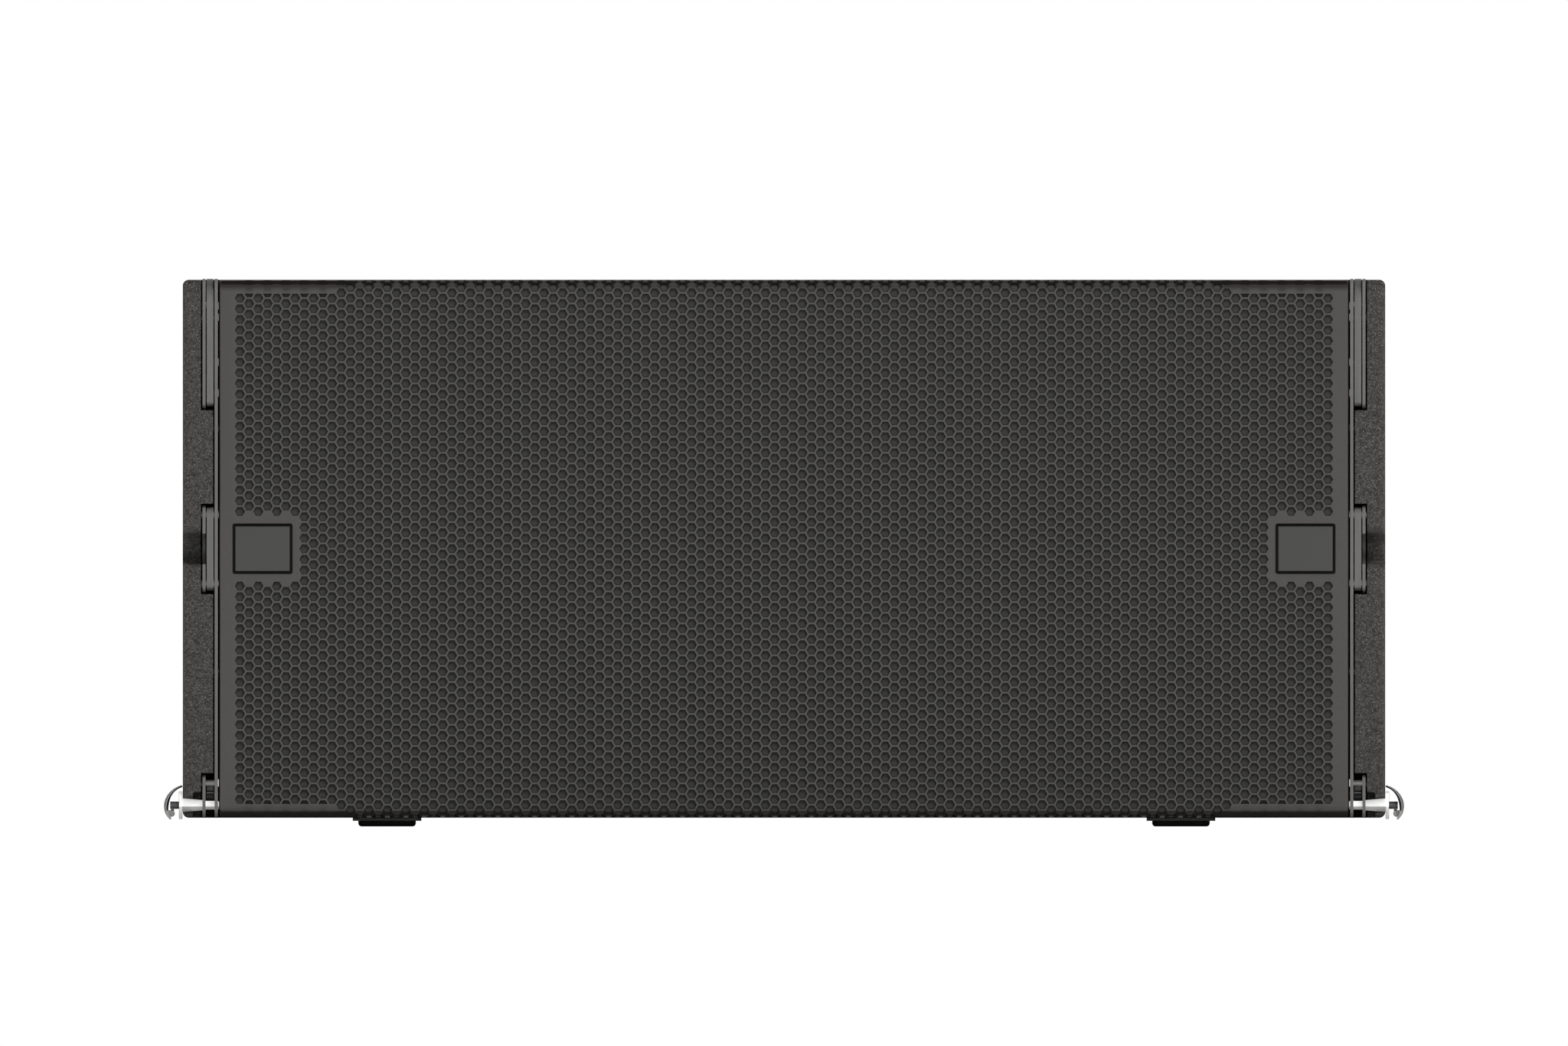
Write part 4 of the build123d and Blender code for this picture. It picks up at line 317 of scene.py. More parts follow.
    def surface(along_x, along_v, inward):
        """Points of the folded sheet in millimetres."""
        shifted = inward + np.where(along_v < -(bottom + LOWER_FLANGE), HIDDEN, 0.0)
        y, z = folded(along_v, shifted, middle, top, bottom, front)
        return np.stack([along_x, y, z], axis=-1)

    points = [surface(flat_x, flat_v, np.full(net, depth)) for depth in (0.0, SHEET)]
    faces4 = [front_four, front_four[:, ::-1] + net]
    faces3 = [front_three, front_three[:, ::-1] + net]
    # walls of the open holes, facing the middle of each hole
    opened = me[open_cell]
    for place in range(6):
        a = opened * 6 + place
        b = opened * 6 + (place + 1) % 6
        faces4.append(np.stack([a, a + net, b + net, b], axis=-1))
    # rear edges of the flanges
    for sign in (1, -1):
        edge = rims[sign]
        strip = np.stack([edge[:-1], edge[1:], edge[1:] + net, edge[:-1] + net], axis=-1)
        faces4.append(strip[:, ::sign])
    total = 2 * net

    # sides: from the lattice's edge over a small rounding to the return and back inside
    for side in (1, -1):
        rows = np.arange(-LAST_ROW, LAST_ROW + 1, 2)
        outermost = number[side * LAST_COLUMN + LAST_COLUMN, rows + LAST_ROW] * 6
        corners = (BR, R, TR) if side > 0 else (BL, L, TL)
        ladder = (outermost[:, None] + corners).ravel()[1:-1]
        last = -1 if side > 0 else 0
        ladder = np.concatenate([[rims[-1][last]], ladder, [rims[1][last]]])
        along = flat_v[ladder]
        level = np.abs(along)
        lip = np.where(level < CORNER_END, CORNER_LIP, LEAST_LIP)
        lip = np.where(level < bottom - BEND - LIP_GAP, SIDE_LIP, lip)
        rounding = np.radians([0, 30, 60, 90])
        profile_x = np.concatenate([half - SIDE_ROUND + SIDE_ROUND * np.sin(rounding),
                                    [half, half - SHEET, half - SHEET]])
        profile_in = SIDE_ROUND * (1 - np.cos(rounding))
        steps = len(profile_x)
        grid_x = np.tile(profile_x * side, (len(ladder), 1))
        grid_in = np.concatenate([np.tile(profile_in, (len(ladder), 1)), lip[:, None], lip[:, None],
                                  np.full((len(ladder), 1), SHEET)], axis=1)
        grid_v = np.tile(along[:, None], (1, steps))
        points.append(surface(grid_x.ravel(), grid_v.ravel(), grid_in.ravel()))
        grid = total + np.arange(len(ladder) * steps).reshape(len(ladder), steps)
        total += grid.size
        wide = np.concatenate([ladder[:, None], grid, ladder[:, None] + net], axis=1)
        strip = np.stack([wide[:-1, :-1], wide[:-1, 1:], wide[1:, 1:], wide[1:, :-1]], axis=-1)
        faces4.append(strip.reshape(-1, 4)[:, ::side])
        for cap in (wide[0][::side], wide[-1][::-side]):
            faces3.append(np.stack([np.full(len(cap) - 2, cap[0]), cap[1:-1], cap[2:]], axis=-1))

    faces = np.concatenate(faces4).tolist() + np.concatenate(faces3).tolist()
    made = piece("perforated_grille", np.concatenate(points) * MM, faces, finish, crease=50)
    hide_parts("front_grille")
    return made


def soft_slab(name, low, high, round_edge, swell, finish, across=72, up=34):
    """Foam sheet: a slab whose rim is a half round and whose faces swell a little.

    For (u, w) from -1 to 1 over the sheet, its half thickness is
    h sqrt(1 - q^2) near the rim, where q runs 0 to 1 over the rounded edge,
    plus a small swell cos(pi u / 2) cos(pi w / 2).
    """
    centre = (low + high) / 2
    half = (high - low) / 2
    u = np.sin(np.linspace(-pi / 2, pi / 2, across))
    w = np.sin(np.linspace(-pi / 2, pi / 2, up))
    grid_u, grid_w = np.meshgrid(u, w)
    from_edge = np.minimum((1 - np.abs(grid_u)) * half[0], (1 - np.abs(grid_w)) * half[2])
    q = 1 - np.clip(from_edge / round_edge, 0, 1)
    fullness = 1 - swell + swell * np.cos(pi * grid_u / 2) * np.cos(pi * grid_w / 2)
    thickness = half[1] * np.sqrt(np.clip(1 - q ** 2, 0, 1)) * fullness
    x = centre[0] + grid_u * half[0]
    z = centre[2] + grid_w * half[2]
    front = np.stack([x, centre[1] - thickness, z], axis=-1).reshape(-1, 3)
    back = np.stack([x, centre[1] + thickness, z], axis=-1).reshape(-1, 3)
    grid = quads(up, across)
    size = across * up
    border = np.concatenate([np.arange(across), np.arange(1, up) * across + across - 1,
                             (up - 1) * across + np.arange(across - 2, -1, -1),
                             np.arange(up - 2, 0, -1) * across])
    following = np.roll(border, -1)
    rim = np.stack([border, border + size, following + size, following], axis=-1)
    faces = np.concatenate([grid, grid[:, ::-1] + size, rim]).tolist()
    return piece(name, np.concatenate([front, back]), faces, finish)


def rounded_rectangle(width, height, radius, per_corner=7):
    """Closed outline of a rectangle with round corners, as x and z, turning left."""
    angle = np.linspace(0, pi / 2, per_corner)
    xs, zs = [], []
    for quarter, (sx, sz) in enumerate(((1, 1), (-1, 1), (-1, -1), (1, -1))):
        turned = angle + quarter * pi / 2
        xs.append(sx * (width / 2 - radius) + radius * np.cos(turned))
        zs.append(sz * (height / 2 - radius) + radius * np.sin(turned))
    return np.concatenate(xs), np.concatenate(zs)


def framed_outline(centre, width, height, radius, profile):
    """Rings of a rounded rectangle, each inset and set forward as the profile's pairs say."""
    rings = []
    for inset, forward in profile:
        x, z = rounded_rectangle(width - 2 * inset, height - 2 * inset, max(radius - inset, LEAST_CORNER))
        y = np.full_like(x, centre[1] - forward)
        rings.append(np.stack([centre[0] + x, y, centre[2] + z], axis=-1))
    return np.stack(rings)


def badge_rim(centre, width, height, deep, rim):
    """Raised rim: a moulded bead carried round a rounded rectangle.

    The bead rises straight, turns over on a quarter circle at its outer and
    inner edges, and drops into the groove round the plate.
    """
    angle = np.linspace(0, pi / 2, CURVE_STEPS)
    outer = [(RIM_BEAD * (1 - cos(a)), deep - RIM_BEAD + RIM_BEAD * sin(a)) for a in angle]
    inner = [(rim - RIM_BEAD + RIM_BEAD * sin(a), deep - RIM_BEAD + RIM_BEAD * cos(a)) for a in angle]
    profile = [(0.0, 0.0)] + outer + inner + [(rim, GROOVE_FLOOR), (rim, 0.0)]
    rings = framed_outline(centre, width, height, RIM_CORNER, profile)
    rows, columns = rings.shape[:2]
    faces = quads(rows, columns, close_columns=True)
    last = (rows - 1) * columns + np.arange(columns)
    first = np.arange(columns)
    base = np.stack([last, np.roll(last, -1), np.roll(first, -1), first], axis=-1)
    return rings.reshape(-1, 3), np.concatenate([faces, base]).tolist()


def badge_plate(centre, width, height, deep):
    """Blank plate: slightly crowned, with a rounded edge; rings shrink to the middle."""
    flat = deep - PLATE_CROWN
    angle = np.linspace(0, pi / 2, CURVE_STEPS)
    profile = [(0.0, 0.0)]
    profile += [(PLATE_EDGE * (1 - cos(a)), flat - PLATE_EDGE * (1 - sin(a))) for a in angle]
    inner = np.linspace(*PLATE_RINGS) * height / 2
    profile += [(inset, flat + PLATE_CROWN * sin(inset / height * pi)) for inset in inner]
    rings = framed_outline(centre, width, height, PLATE_CORNER, profile)
    rows, columns = rings.shape[:2]
    faces = quads(rows, columns, close_columns=True).tolist()
    faces.append(list(range((rows - 1) * columns, rows * columns)))
    faces.append(list(range(columns))[::-1])
    return rings.reshape(-1, 3), faces


def badges(rim_finish, plate_finish):
    """Both blank badges, each a rim and a plate, at the outer ends of their nodes' boxes."""
    rim_low, rim_high = (np.array(corner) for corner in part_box("badge_frames"))
    plate_low, plate_high = (np.array(corner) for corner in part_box("badge_faces"))
    rim = plate_low[0] - rim_low[0]
    height = rim_high[2] - rim_low[2]
    width = height * BADGE_SHAPE
    middle = (rim_low[2] + rim_high[2]) / 2
    rims, plates = [], []
    for x in (rim_low[0] + width / 2, rim_high[0] - width / 2):
        rims.append(badge_rim((x, rim_high[1], middle), width, height, rim_high[1] - rim_low[1], rim))
        plates.append(badge_plate((x, plate_high[1], middle), width - 2 * rim, height - 2 * rim,
                                  plate_high[1] - plate_low[1]))
    kinds = (("badge_rims", "badge_frames", "badge_rim", rim_finish, rims),
             ("badge_plates", "badge_faces", "badge_face", plate_finish, plates))
    for name, node, slot, finish, pair in kinds:
        (first, first_faces), (second, second_faces) = pair
        moved = [[corner + len(first) for corner in face] for face in second_faces]
        made = piece(name, np.concatenate([first, second]), first_faces + moved, finish, crease=40)
        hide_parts(node)


# ---------- node helpers
def srgb(r, g, b):
    """Linear colour with alpha from the usual 0 to 255 values."""
    values = np.array([r, g, b]) / 255
    linear = np.where(values <= 0.04045, values / 12.92, ((values + 0.055) / 1.055) ** 2.4)
    return (*linear.tolist(), 1.0)


def grey(value):
    """Linear grey."""
    return (value, value, value, 1.0)


def shades(colour, change):
    """Darker and lighter shades of a colour, by a share of it."""
    linear = srgb(*colour)[:3]
    return [tuple(value * share for value in linear) + (1.0,) for share in (1 - change, 1 + change)]


def lifted(colour, step):
    """Paler colour, each of its values raised by a step."""
    return srgb(*(min(255, value + step) for value in colour))


def add(tree, kind, values=None, **settings):
    """A node with its settings; values sets or links its inputs by name or number."""
    made = tree.nodes.new(kind)
    for key, value in settings.items():
        setattr(made, key, value)
    for key, value in (values or {}).items():
        if isinstance(value, bpy.types.NodeSocket):
            tree.links.new(value, made.inputs[key])
        else:
            made.inputs[key].default_value = value
    return made


def maths(tree, operation, first, second=0.5, clamp=False):
    """Output of a Math node."""
    values = {0: first, 1: second}
    return add(tree, "ShaderNodeMath", values, operation=operation, use_clamp=clamp).outputs[0]


def product(tree, first, second):
    """One value times another."""
    return maths(tree, "MULTIPLY", first, second)


def spread(tree, value, low, high, to_low=0.0, to_high=1.0):
    """Value mapped smoothly from one range to another."""
    values = {0: value, 1: low, 2: high, 3: to_low, 4: to_high}
    return add(tree, "ShaderNodeMapRange", values, interpolation_type="SMOOTHSTEP").outputs[0]


def span(tree, value, low, high, soft):
    """Share that is full between two values, with soft ends inside them."""
    return product(tree, spread(tree, value, low, low + soft), spread(tree, value, high, high - soft))


def blended(tree, share, first, second):
    """Colour between two by a share."""
    return add(tree, "ShaderNodeMix", {0: share, 6: first, 7: second}, data_type="RGBA").outputs[2]


def noise(tree, vector, scale, detail, roughness=0.55):
    """Value of a noise on a vector."""
    values = {"Vector": vector, "Scale": scale, "Detail": detail, "Roughness": roughness}
    return add(tree, "ShaderNodeTexNoise", values).outputs[0]


def open_air(tree, reach):
    """Share of open air over a place, within a reach."""
    return add(tree, "ShaderNodeAmbientOcclusion", {"Distance": reach}, samples=4).outputs["AO"]


def object_place(tree):
    """Place on the object, as a vector."""
    return tree.nodes.new("ShaderNodeTexCoord").outputs["Object"]


def parts_of(tree, vector):
    """The three parts of a vector: across, back and up."""
    return add(tree, "ShaderNodeSeparateXYZ", {0: vector}).outputs


def height_on(tree):
    """Height of a place on the object."""
    return parts_of(tree, object_place(tree))[2]


def effect(name, inputs, outputs):
    """An empty node group: inputs are (name, value), outputs are (name, kind)."""
    tree = bpy.data.node_groups.new(name, "ShaderNodeTree")
    for label, value in inputs:
        kind = "NodeSocketVector" if isinstance(value, tuple) else "NodeSocketFloat"
        socket = tree.interface.new_socket(name=label, in_out="INPUT", socket_type=kind)
        socket.default_value = value
    for label, kind in outputs:
        tree.interface.new_socket(name=label, in_out="OUTPUT", socket_type="NodeSocket" + kind)
    return tree, tree.nodes.new("NodeGroupInput").outputs, tree.nodes.new("NodeGroupOutput").inputs


def given(tree, sink, **values):
    """The group, once each value is led to its output."""
    for label, value in values.items():
        tree.links.new(value, sink[label])
    return tree


# ---------- shared effects
def make_grain():
    """Fine orange-peel of a sprayed coat: a height and slow changes of tone."""
    tree, source, sink = effect("sprayed grain", [("Scale", 1500.0), ("Contrast", 0.3)],
                                [("Height", "Float"), ("Tone", "Float")])
    place = object_place(tree)
    fine = noise(tree, place, source["Scale"], 2.0)
    slow = maths(tree, "SUBTRACT", noise(tree, place, 14.0, 4.0, 0.6), 0.5)
    tone = product(tree, slow, source["Contrast"])
    return given(tree, sink, Height=fine, Tone=maths(tree, "ADD", tone, 0.5, clamp=True))


def make_flecks():
    """Textured coat: crowded lumps about a millimetre wide, their crowns lighter than the gaps."""
    tree, source, sink = effect("textured coat", [("Scale", 900.0), ("Share", 0.2)],
                                [("Height", "Float"), ("Fleck", "Float"), ("Shade", "Float")])
    place = object_place(tree)
    lumps = product(tree, noise(tree, place, source["Scale"], 2.0, 0.6), 0.9)
    coarse = product(tree, noise(tree, place, 420.0, 2.0, 0.5), 0.4)
    height = maths(tree, "ADD", lumps, coarse)
    values = {"Vector": place, "Scale": source["Scale"], "Randomness": 1.0}
    cells = add(tree, "ShaderNodeTexVoronoi", values).outputs
    chance = add(tree, "ShaderNodeSeparateColor", {0: cells["Color"]}).outputs[0]
    picked = maths(tree, "GREATER_THAN", chance, maths(tree, "SUBTRACT", 1.0, source["Share"]))
    fleck = product(tree, picked, spread(tree, cells["Distance"], 0.5, 0.15))
    return given(tree, sink, Height=height, Fleck=fleck, Shade=spread(tree, height, 0.45, 0.85))


def make_edges():
    """Rounded and rubbed edges: the softened normal and a broken mask along the corners."""
    tree, source, sink = effect("rubbed edges", [("Radius", 0.0005), ("Amount", 0.5)],
                                [("Normal", "Vector"), ("Mask", "Float")])
    wide = product(tree, source["Radius"], 1.6)
    soft, turned = (add(tree, "ShaderNodeBevel", {"Radius": radius}, samples=4).outputs[0]
                    for radius in (source["Radius"], wide))
    flat = tree.nodes.new("ShaderNodeNewGeometry").outputs["Normal"]
    along = add(tree, "ShaderNodeVectorMath", {0: turned, 1: flat}, operation="DOT_PRODUCT")
    edge = spread(tree, along.outputs["Value"], 0.995, 0.8)
    broken = spread(tree, noise(tree, object_place(tree), 160.0, 6.0, 0.7), 0.42, 0.66)
    mask = product(tree, edge, broken)
    mask = maths(tree, "MULTIPLY", mask, source["Amount"], clamp=True)
    return given(tree, sink, Normal=soft, Mask=mask)


def make_dust():
    """Fine dust: patches that gather on faces that look up."""
    tree, source, sink = effect("settled dust", [("Amount", 0.2)], [("Mask", "Float")])
    up = parts_of(tree, tree.nodes.new("ShaderNodeNewGeometry").outputs["Normal"])[2]
    facing = spread(tree, up, 0.1, 0.95, 0.12, 1.0)
    patches = spread(tree, noise(tree, object_place(tree), 22.0, 7.0, 0.65), 0.35, 0.75)
    mask = product(tree, facing, patches)
    return given(tree, sink, Mask=maths(tree, "MULTIPLY", mask, source["Amount"], clamp=True))


def make_handling():
    """Roughness that wanders as handled surfaces do: broad smears and fine scuffs."""
    tree, source, sink = effect("handling", [("Rough", 0.5), ("Change", 0.1)], [("Roughness", "Float")])
    place = object_place(tree)
    smear = maths(tree, "SUBTRACT", noise(tree, place, 35.0, 5.0, 0.6), 0.5)
    scuff = maths(tree, "SUBTRACT", noise(tree, place, 420.0, 3.0, 0.6), 0.5)
    marks = maths(tree, "ADD", smear, product(tree, scuff, 0.6))
    change = product(tree, marks, source["Change"])
    return given(tree, sink, Roughness=maths(tree, "ADD", source["Rough"], change, clamp=True))


def make_brushing():
    """Lines left by rolling, brushing or turning: a noise stretched along one axis."""
    tree, source, sink = effect("brushed lines", [("Stretch", (20.0, 900.0, 900.0))],
                                [("Height", "Float"), ("Tone", "Float")])
    values = {0: object_place(tree), 1: source["Stretch"]}
    drawn = add(tree, "ShaderNodeVectorMath", values, operation="MULTIPLY").outputs[0]
    lines = noise(tree, drawn, 1.0, 4.0, 0.65)
    return given(tree, sink, Height=lines, Tone=spread(tree, lines, 0.3, 0.7))


def make_zone():
    """Share that rises as the distance from the cabinet's middle goes from Start to Finish."""
    tree, source, sink = effect("zone across", [("Start", 0.3), ("Finish", 0.31)], [("Mask", "Float")])
    out = maths(tree, "ABSOLUTE", parts_of(tree, object_place(tree))[0])
    return given(tree, sink, Mask=spread(tree, out, source["Start"], source["Finish"]))


GRAIN = make_grain()
FLECKS = make_flecks()
EDGES = make_edges()
DUST = make_dust()
HANDLING = make_handling()
BRUSHING = make_brushing()
ZONE = make_zone()


def placed(tree, group, **values):
    """Outputs of a shared effect, set with this material's values."""
    made = tree.nodes.new("ShaderNodeGroup")
    made.node_tree = group
    for label, value in values.items():
        made.inputs[label].default_value = value
    return made.outputs


# ---------- finishes
def inputs_of(material):
    """Inputs of a material's shader."""
    return material.node_tree.nodes["Principled BSDF"].inputs


def surface_of(name, settings=None):
    """A new material and its node tree, with the values that are even all over set."""
    material = bpy.data.materials.new(name)
    material.use_nodes = True
    for label, value in (settings or {}).items():
        inputs_of(material)[label].default_value = value
    return material, material.node_tree


def finished(material, colour, rough, change, height, edges, strength, depth=0.0002):
    """The material, once its colour, wandering roughness and relief reach its shader."""
    tree = material.node_tree
    roughness = placed(tree, HANDLING, Rough=rough, Change=change)["Roughness"]
    values = {"Strength": strength, "Distance": depth, "Height": height, "Normal": edges["Normal"]}
    relief = add(tree, "ShaderNodeBump", values).outputs[0]
    for label, value in (("Base Color", colour), ("Roughness", roughness), ("Normal", relief)):
        tree.links.new(value, inputs_of(material)[label])
    return material


def sprayed(name, colour, rough, grain=1500.0, depth=0.25, edge=0.0004, wear=0.35, worn=(150, 150, 148),
            dust=0.08, specular=0.5, change=0.12):
    """Sprayed or powder coat on metal: orange-peel, tone, rubbed edges and a little dust."""
    settings = {"Specular IOR Level": specular, "Specular Tint": (1.0, 0.988, 0.965, 1.0)}
    material, tree = surface_of(name, settings)
    peel = placed(tree, GRAIN, Scale=grain, Contrast=0.5)
    edges = placed(tree, EDGES, Radius=edge, Amount=wear)
    base = blended(tree, peel["Tone"], *shades(colour, 0.14))
    base = blended(tree, edges["Mask"], base, srgb(*worn))
    base = blended(tree, placed(tree, DUST, Amount=dust)["Mask"], base, srgb(150, 147, 142))
    return finished(material, base, rough, change, peel["Height"], edges, depth)


def moulded(name, colour, rough, grain=2400.0, depth=0.15, dust=0.06, edge=0.0004, specular=0.5):
    """Moulded plastic or rubber: fine sparked texture, soft edges and faint dust."""
    material, tree = surface_of(name, {"Specular IOR Level": specular})
    skin = placed(tree, GRAIN, Scale=grain, Contrast=0.35)
    edges = placed(tree, EDGES, Radius=edge, Amount=0.12)
    base = blended(tree, skin["Tone"], *shades(colour, 0.12))
    base = blended(tree, edges["Mask"], base, lifted(colour, 40))
    base = blended(tree, placed(tree, DUST, Amount=dust)["Mask"], base, srgb(140, 138, 133))
    return finished(material, base, rough, 0.1, skin["Height"], edges, depth, 0.0001)


def metal_of(name, metallic, stretch, rubbed=0.5):
    """A new metal, its node tree, its drawn lines and its rubbed edges."""
    material, tree = surface_of(name, {"Metallic": metallic})
    lines = placed(tree, BRUSHING, Stretch=stretch)
    return material, tree, lines, placed(tree, EDGES, Radius=METAL_EDGE, Amount=rubbed)


def bare_metal(name, colour, rough, stretch=ROLLED, depth=0.12, change=0.1, metallic=1.0):
    """Plated, rolled or turned metal with drawn lines and brighter edges."""
    material, tree, lines, edges = metal_of(name, metallic, stretch)
    base = blended(tree, lines["Tone"], shades(colour, 0.18)[0], srgb(*colour))
    base = blended(tree, edges["Mask"], base, lifted(colour, 30))
    return finished(material, base, rough, change, lines["Height"], edges, depth, FINE)


def painted_glow(material, colour, gleam):
    """Painted glow: emission of a colour times a level, lifting polished metal out of the shade of its slot
    as though it caught the light of the front.
    """
    tree = material.node_tree
    values = {0: 1.0, 6: colour, 7: gleam}
    lit = add(tree, "ShaderNodeMix", values, data_type="RGBA", blend_type="MULTIPLY").outputs[2]
    tree.links.new(lit, inputs_of(material)["Emission Color"])
    inputs_of(material)["Emission Strength"].default_value = 1.0


def pin_steel():
    """Polished release pin: painted white above its line, a painted reflection of the bright surroundings,
    and painted shade below; a painted glow in its slot; a blackened spindle.
    """
    material, tree, lines, edges = metal_of("polished release pin", 0.05, TURNED)
    # below its line the underside is painted in shade: a greyer base and less painted glow
    above = spread(tree, height_on(tree), PIN_LINE - 2 * HAIR, PIN_LINE + HAIR)
    spindle = placed(tree, ZONE, Start=FLANGE_FACE - HAIR, Finish=FLANGE_FACE)["Mask"]
    # out in open air the painted reflection and painted glow give way to plain grey
    pulled = spread(tree, open_air(tree, PIN_REACH), *PIN_FREE)
    # near-white base: painted reflection of the bright surroundings in the chrome
    bright = blended(tree, lines["Tone"], srgb(240, 240, 238), srgb(253, 253, 252))
    base = blended(tree, above, srgb(196, 196, 193), bright)
    base = blended(tree, edges["Mask"], base, srgb(255, 255, 255))
    base = blended(tree, spindle, base, srgb(88, 88, 88))
    base = blended(tree, pulled, base, srgb(132, 132, 130))
    # painted glow that lifts the pin out of the shade of its slot
    gleam = blended(tree, above, *(grey(level) for level in PIN_PAINTED_GLOW))
    gleam = blended(tree, spindle, gleam, grey(0.0))
    painted_glow(material, base, blended(tree, pulled, gleam, grey(0.0)))
    return finished(material, base, 0.25, 0.05, lines["Height"], edges, 0.02, FINE)


def rivet_steel():
    """Plated rivets: grey outside; spacers between the plates painted brighter, with a faint painted glow,
    against the shade there; polished heads inside given a painted glow.
    """
    material, tree, lines, edges = metal_of("plated rivets", 0.3, ROLLED)
    up = height_on(tree)
    outside = placed(tree, ZONE, Start=INNER_FACE, Finish=INNER_FACE + HAIR)["Mask"]
    beyond = placed(tree, ZONE, Start=OUTER_PLATES, Finish=OUTER_PLATES + HAIR)["Mask"]
    low = span(tree, up, *SPACERS, 3 * HAIR)
    high = product(tree, spread(tree, up, TOP_RIVETS, TOP_RIVETS + 10 * HAIR), TOP_SHARE)
    between = product(tree, low, maths(tree, "SUBTRACT", 1.0, beyond))
    base = blended(tree, lines["Tone"], srgb(150, 150, 148), srgb(168, 168, 166))
    # spacers painted brighter: painted light against the shade between the plates
    base = blended(tree, between, base, srgb(190, 190, 188))
    base = blended(tree, edges["Mask"], base, srgb(205, 205, 203))
    # painted glow on the lowest heads inside the plates, and less on the uppermost ones
    head = blended(tree, maths(tree, "MAXIMUM", low, high), grey(0.0), grey(HEAD_PAINTED_GLOW))
    spacer = blended(tree, between, grey(0.0), grey(SPACER_PAINTED_GLOW))
    painted_glow(material, base, blended(tree, outside, head, spacer))
    return finished(material, base, 0.34, 0.1, lines["Height"], edges, 0.12, FINE)


def lever_steel():
    """Brushed lever: grey blade, a painted highlight line along its inner side and a near-black painted
    shade strip inside that, standing in for the light and shade on its rounded edge, and a hub.
    """
    material, tree, lines, edges = metal_of("brushed lever steel", 0.3, (900.0, 40.0, 900.0))
    inputs_of(material)["Specular IOR Level"].default_value = 0.2
    across, _, up = parts_of(tree, object_place(tree))
    out = maths(tree, "SUBTRACT", maths(tree, "ABSOLUTE", across), LEVER_CENTRE[0])
    rise = maths(tree, "SUBTRACT", up, LEVER_CENTRE[1])
    squares = [product(tree, length, length) for length in (out, rise)]
    radius = maths(tree, "SQRT", maths(tree, "ADD", *squares))
    within = spread(tree, radius, LEVER_INNER_RADIUS + 2 * HAIR, LEVER_INNER_RADIUS)
    # painted highlight of the blade's rounded edge
    line = maths(tree, "SUBTRACT", spread(tree, radius, LEVER_LINE, LEVER_LINE - 4 * HAIR), within)
    # near-black painted shade along the blade's inner side
    painted_shade_strip = product(tree, within, spread(tree, up, INNER_STRIP_END - 2 * HAIR, INNER_STRIP_END))
    hub = product(tree, within, spread(tree, up, INNER_STRIP_END, INNER_STRIP_END - 2 * HAIR))
    over = spread(tree, up, HUB_TOP, HUB_TOP + 2 * HAIR)
    base = blended(tree, lines["Tone"], srgb(86, 86, 86), srgb(106, 106, 105))
    base = blended(tree, line, base, srgb(165, 165, 163))
    base = blended(tree, edges["Mask"], base, srgb(140, 140, 138))
    base = blended(tree, painted_shade_strip, base, srgb(8, 8, 8))
    base = blended(tree, hub, base, blended(tree, over, srgb(138, 138, 136), srgb(14, 14, 14)))
    return finished(material, base, 0.36, 0.1, lines["Height"], edges, 0.12, FINE)


def stop_steel():
    """Machined stop: a pale upper land and a bright step across it, painted light, and dark bands below,
    painted shade, standing in for the lit and shaded faces of its grooves.
    """
    material, tree, lines, edges = metal_of("machined stop steel", 0.1, (30.0, 30.0, 1400.0), 0.4)
    up = height_on(tree)
    # pale base: painted light that lifts the recessed stop out of its shade
    base = blended(tree, lines["Tone"], srgb(196, 196, 194), srgb(222, 222, 220))
    # painted bands of light and shade across the stop
    for low, high, tone in PAINTED_STOP_BANDS:
        painted_band = span(tree, up, low - HAIR, high + HAIR, 2 * HAIR)
        base = blended(tree, painted_band, base, srgb(tone, tone, tone))
    base = blended(tree, edges["Mask"], base, srgb(190, 190, 188))
    return finished(material, base, 0.45, 0.1, lines["Height"], edges, 0.1, FINE)


def textured_cabinet_paint():
    """Heavy textured paint of the cabinet: crowded lumps, matt, lighter on its rubbed edges."""
    material, tree = surface_of("textured cabinet paint", {"Specular IOR Level": 0.4})
    coat = placed(tree, FLECKS, Scale=1150.0, Share=0.3)
    edges = placed(tree, EDGES, Radius=0.0012, Amount=0.12)
    base = blended(tree, coat["Shade"], srgb(21, 20, 19), srgb(64, 62, 60))
    base = blended(tree, coat["Fleck"], base, srgb(100, 97, 93))
    base = blended(tree, edges["Mask"], base, srgb(96, 93, 88))
    base = blended(tree, placed(tree, DUST, Amount=0.05)["Mask"], base, srgb(140, 137, 131))
    return finished(material, base, 0.6, 0.16, coat["Height"], edges, 0.5, 0.0004)


def open_cell_foam():
    """Reticulated acoustic foam: small dark pores between soft struts, with painted shade at the holes'
    edges where the sheet closes it in.
    """
    settings = {"Specular IOR Level": 0.1, "Sheen Weight": 0.05}
    material, tree = surface_of("open cell foam", settings)
    values = {"Vector": object_place(tree), "Scale": 1500.0}
    pores = add(tree, "ShaderNodeTexVoronoi", values, feature="F1").outputs["Distance"]
    skin = placed(tree, GRAIN, Scale=2600.0, Contrast=0.5)
    edges = placed(tree, EDGES, Radius=0.0004, Amount=0.0)
    base = blended(tree, spread(tree, pores, 0.1, 0.6), srgb(43, 43, 41), srgb(61, 61, 59))
    base = blended(tree, skin["Tone"], base, srgb(52, 52, 50))
    # painted shade: darker where the walls of the grille's holes close in the air over the foam
    base = blended(tree, spread(tree, open_air(tree, FOAM_REACH), 0.4, 0.95), srgb(33, 33, 32), base)
    return finished(material, base, 0.92, 0.06, pores, edges, 0.3, 0.0003)


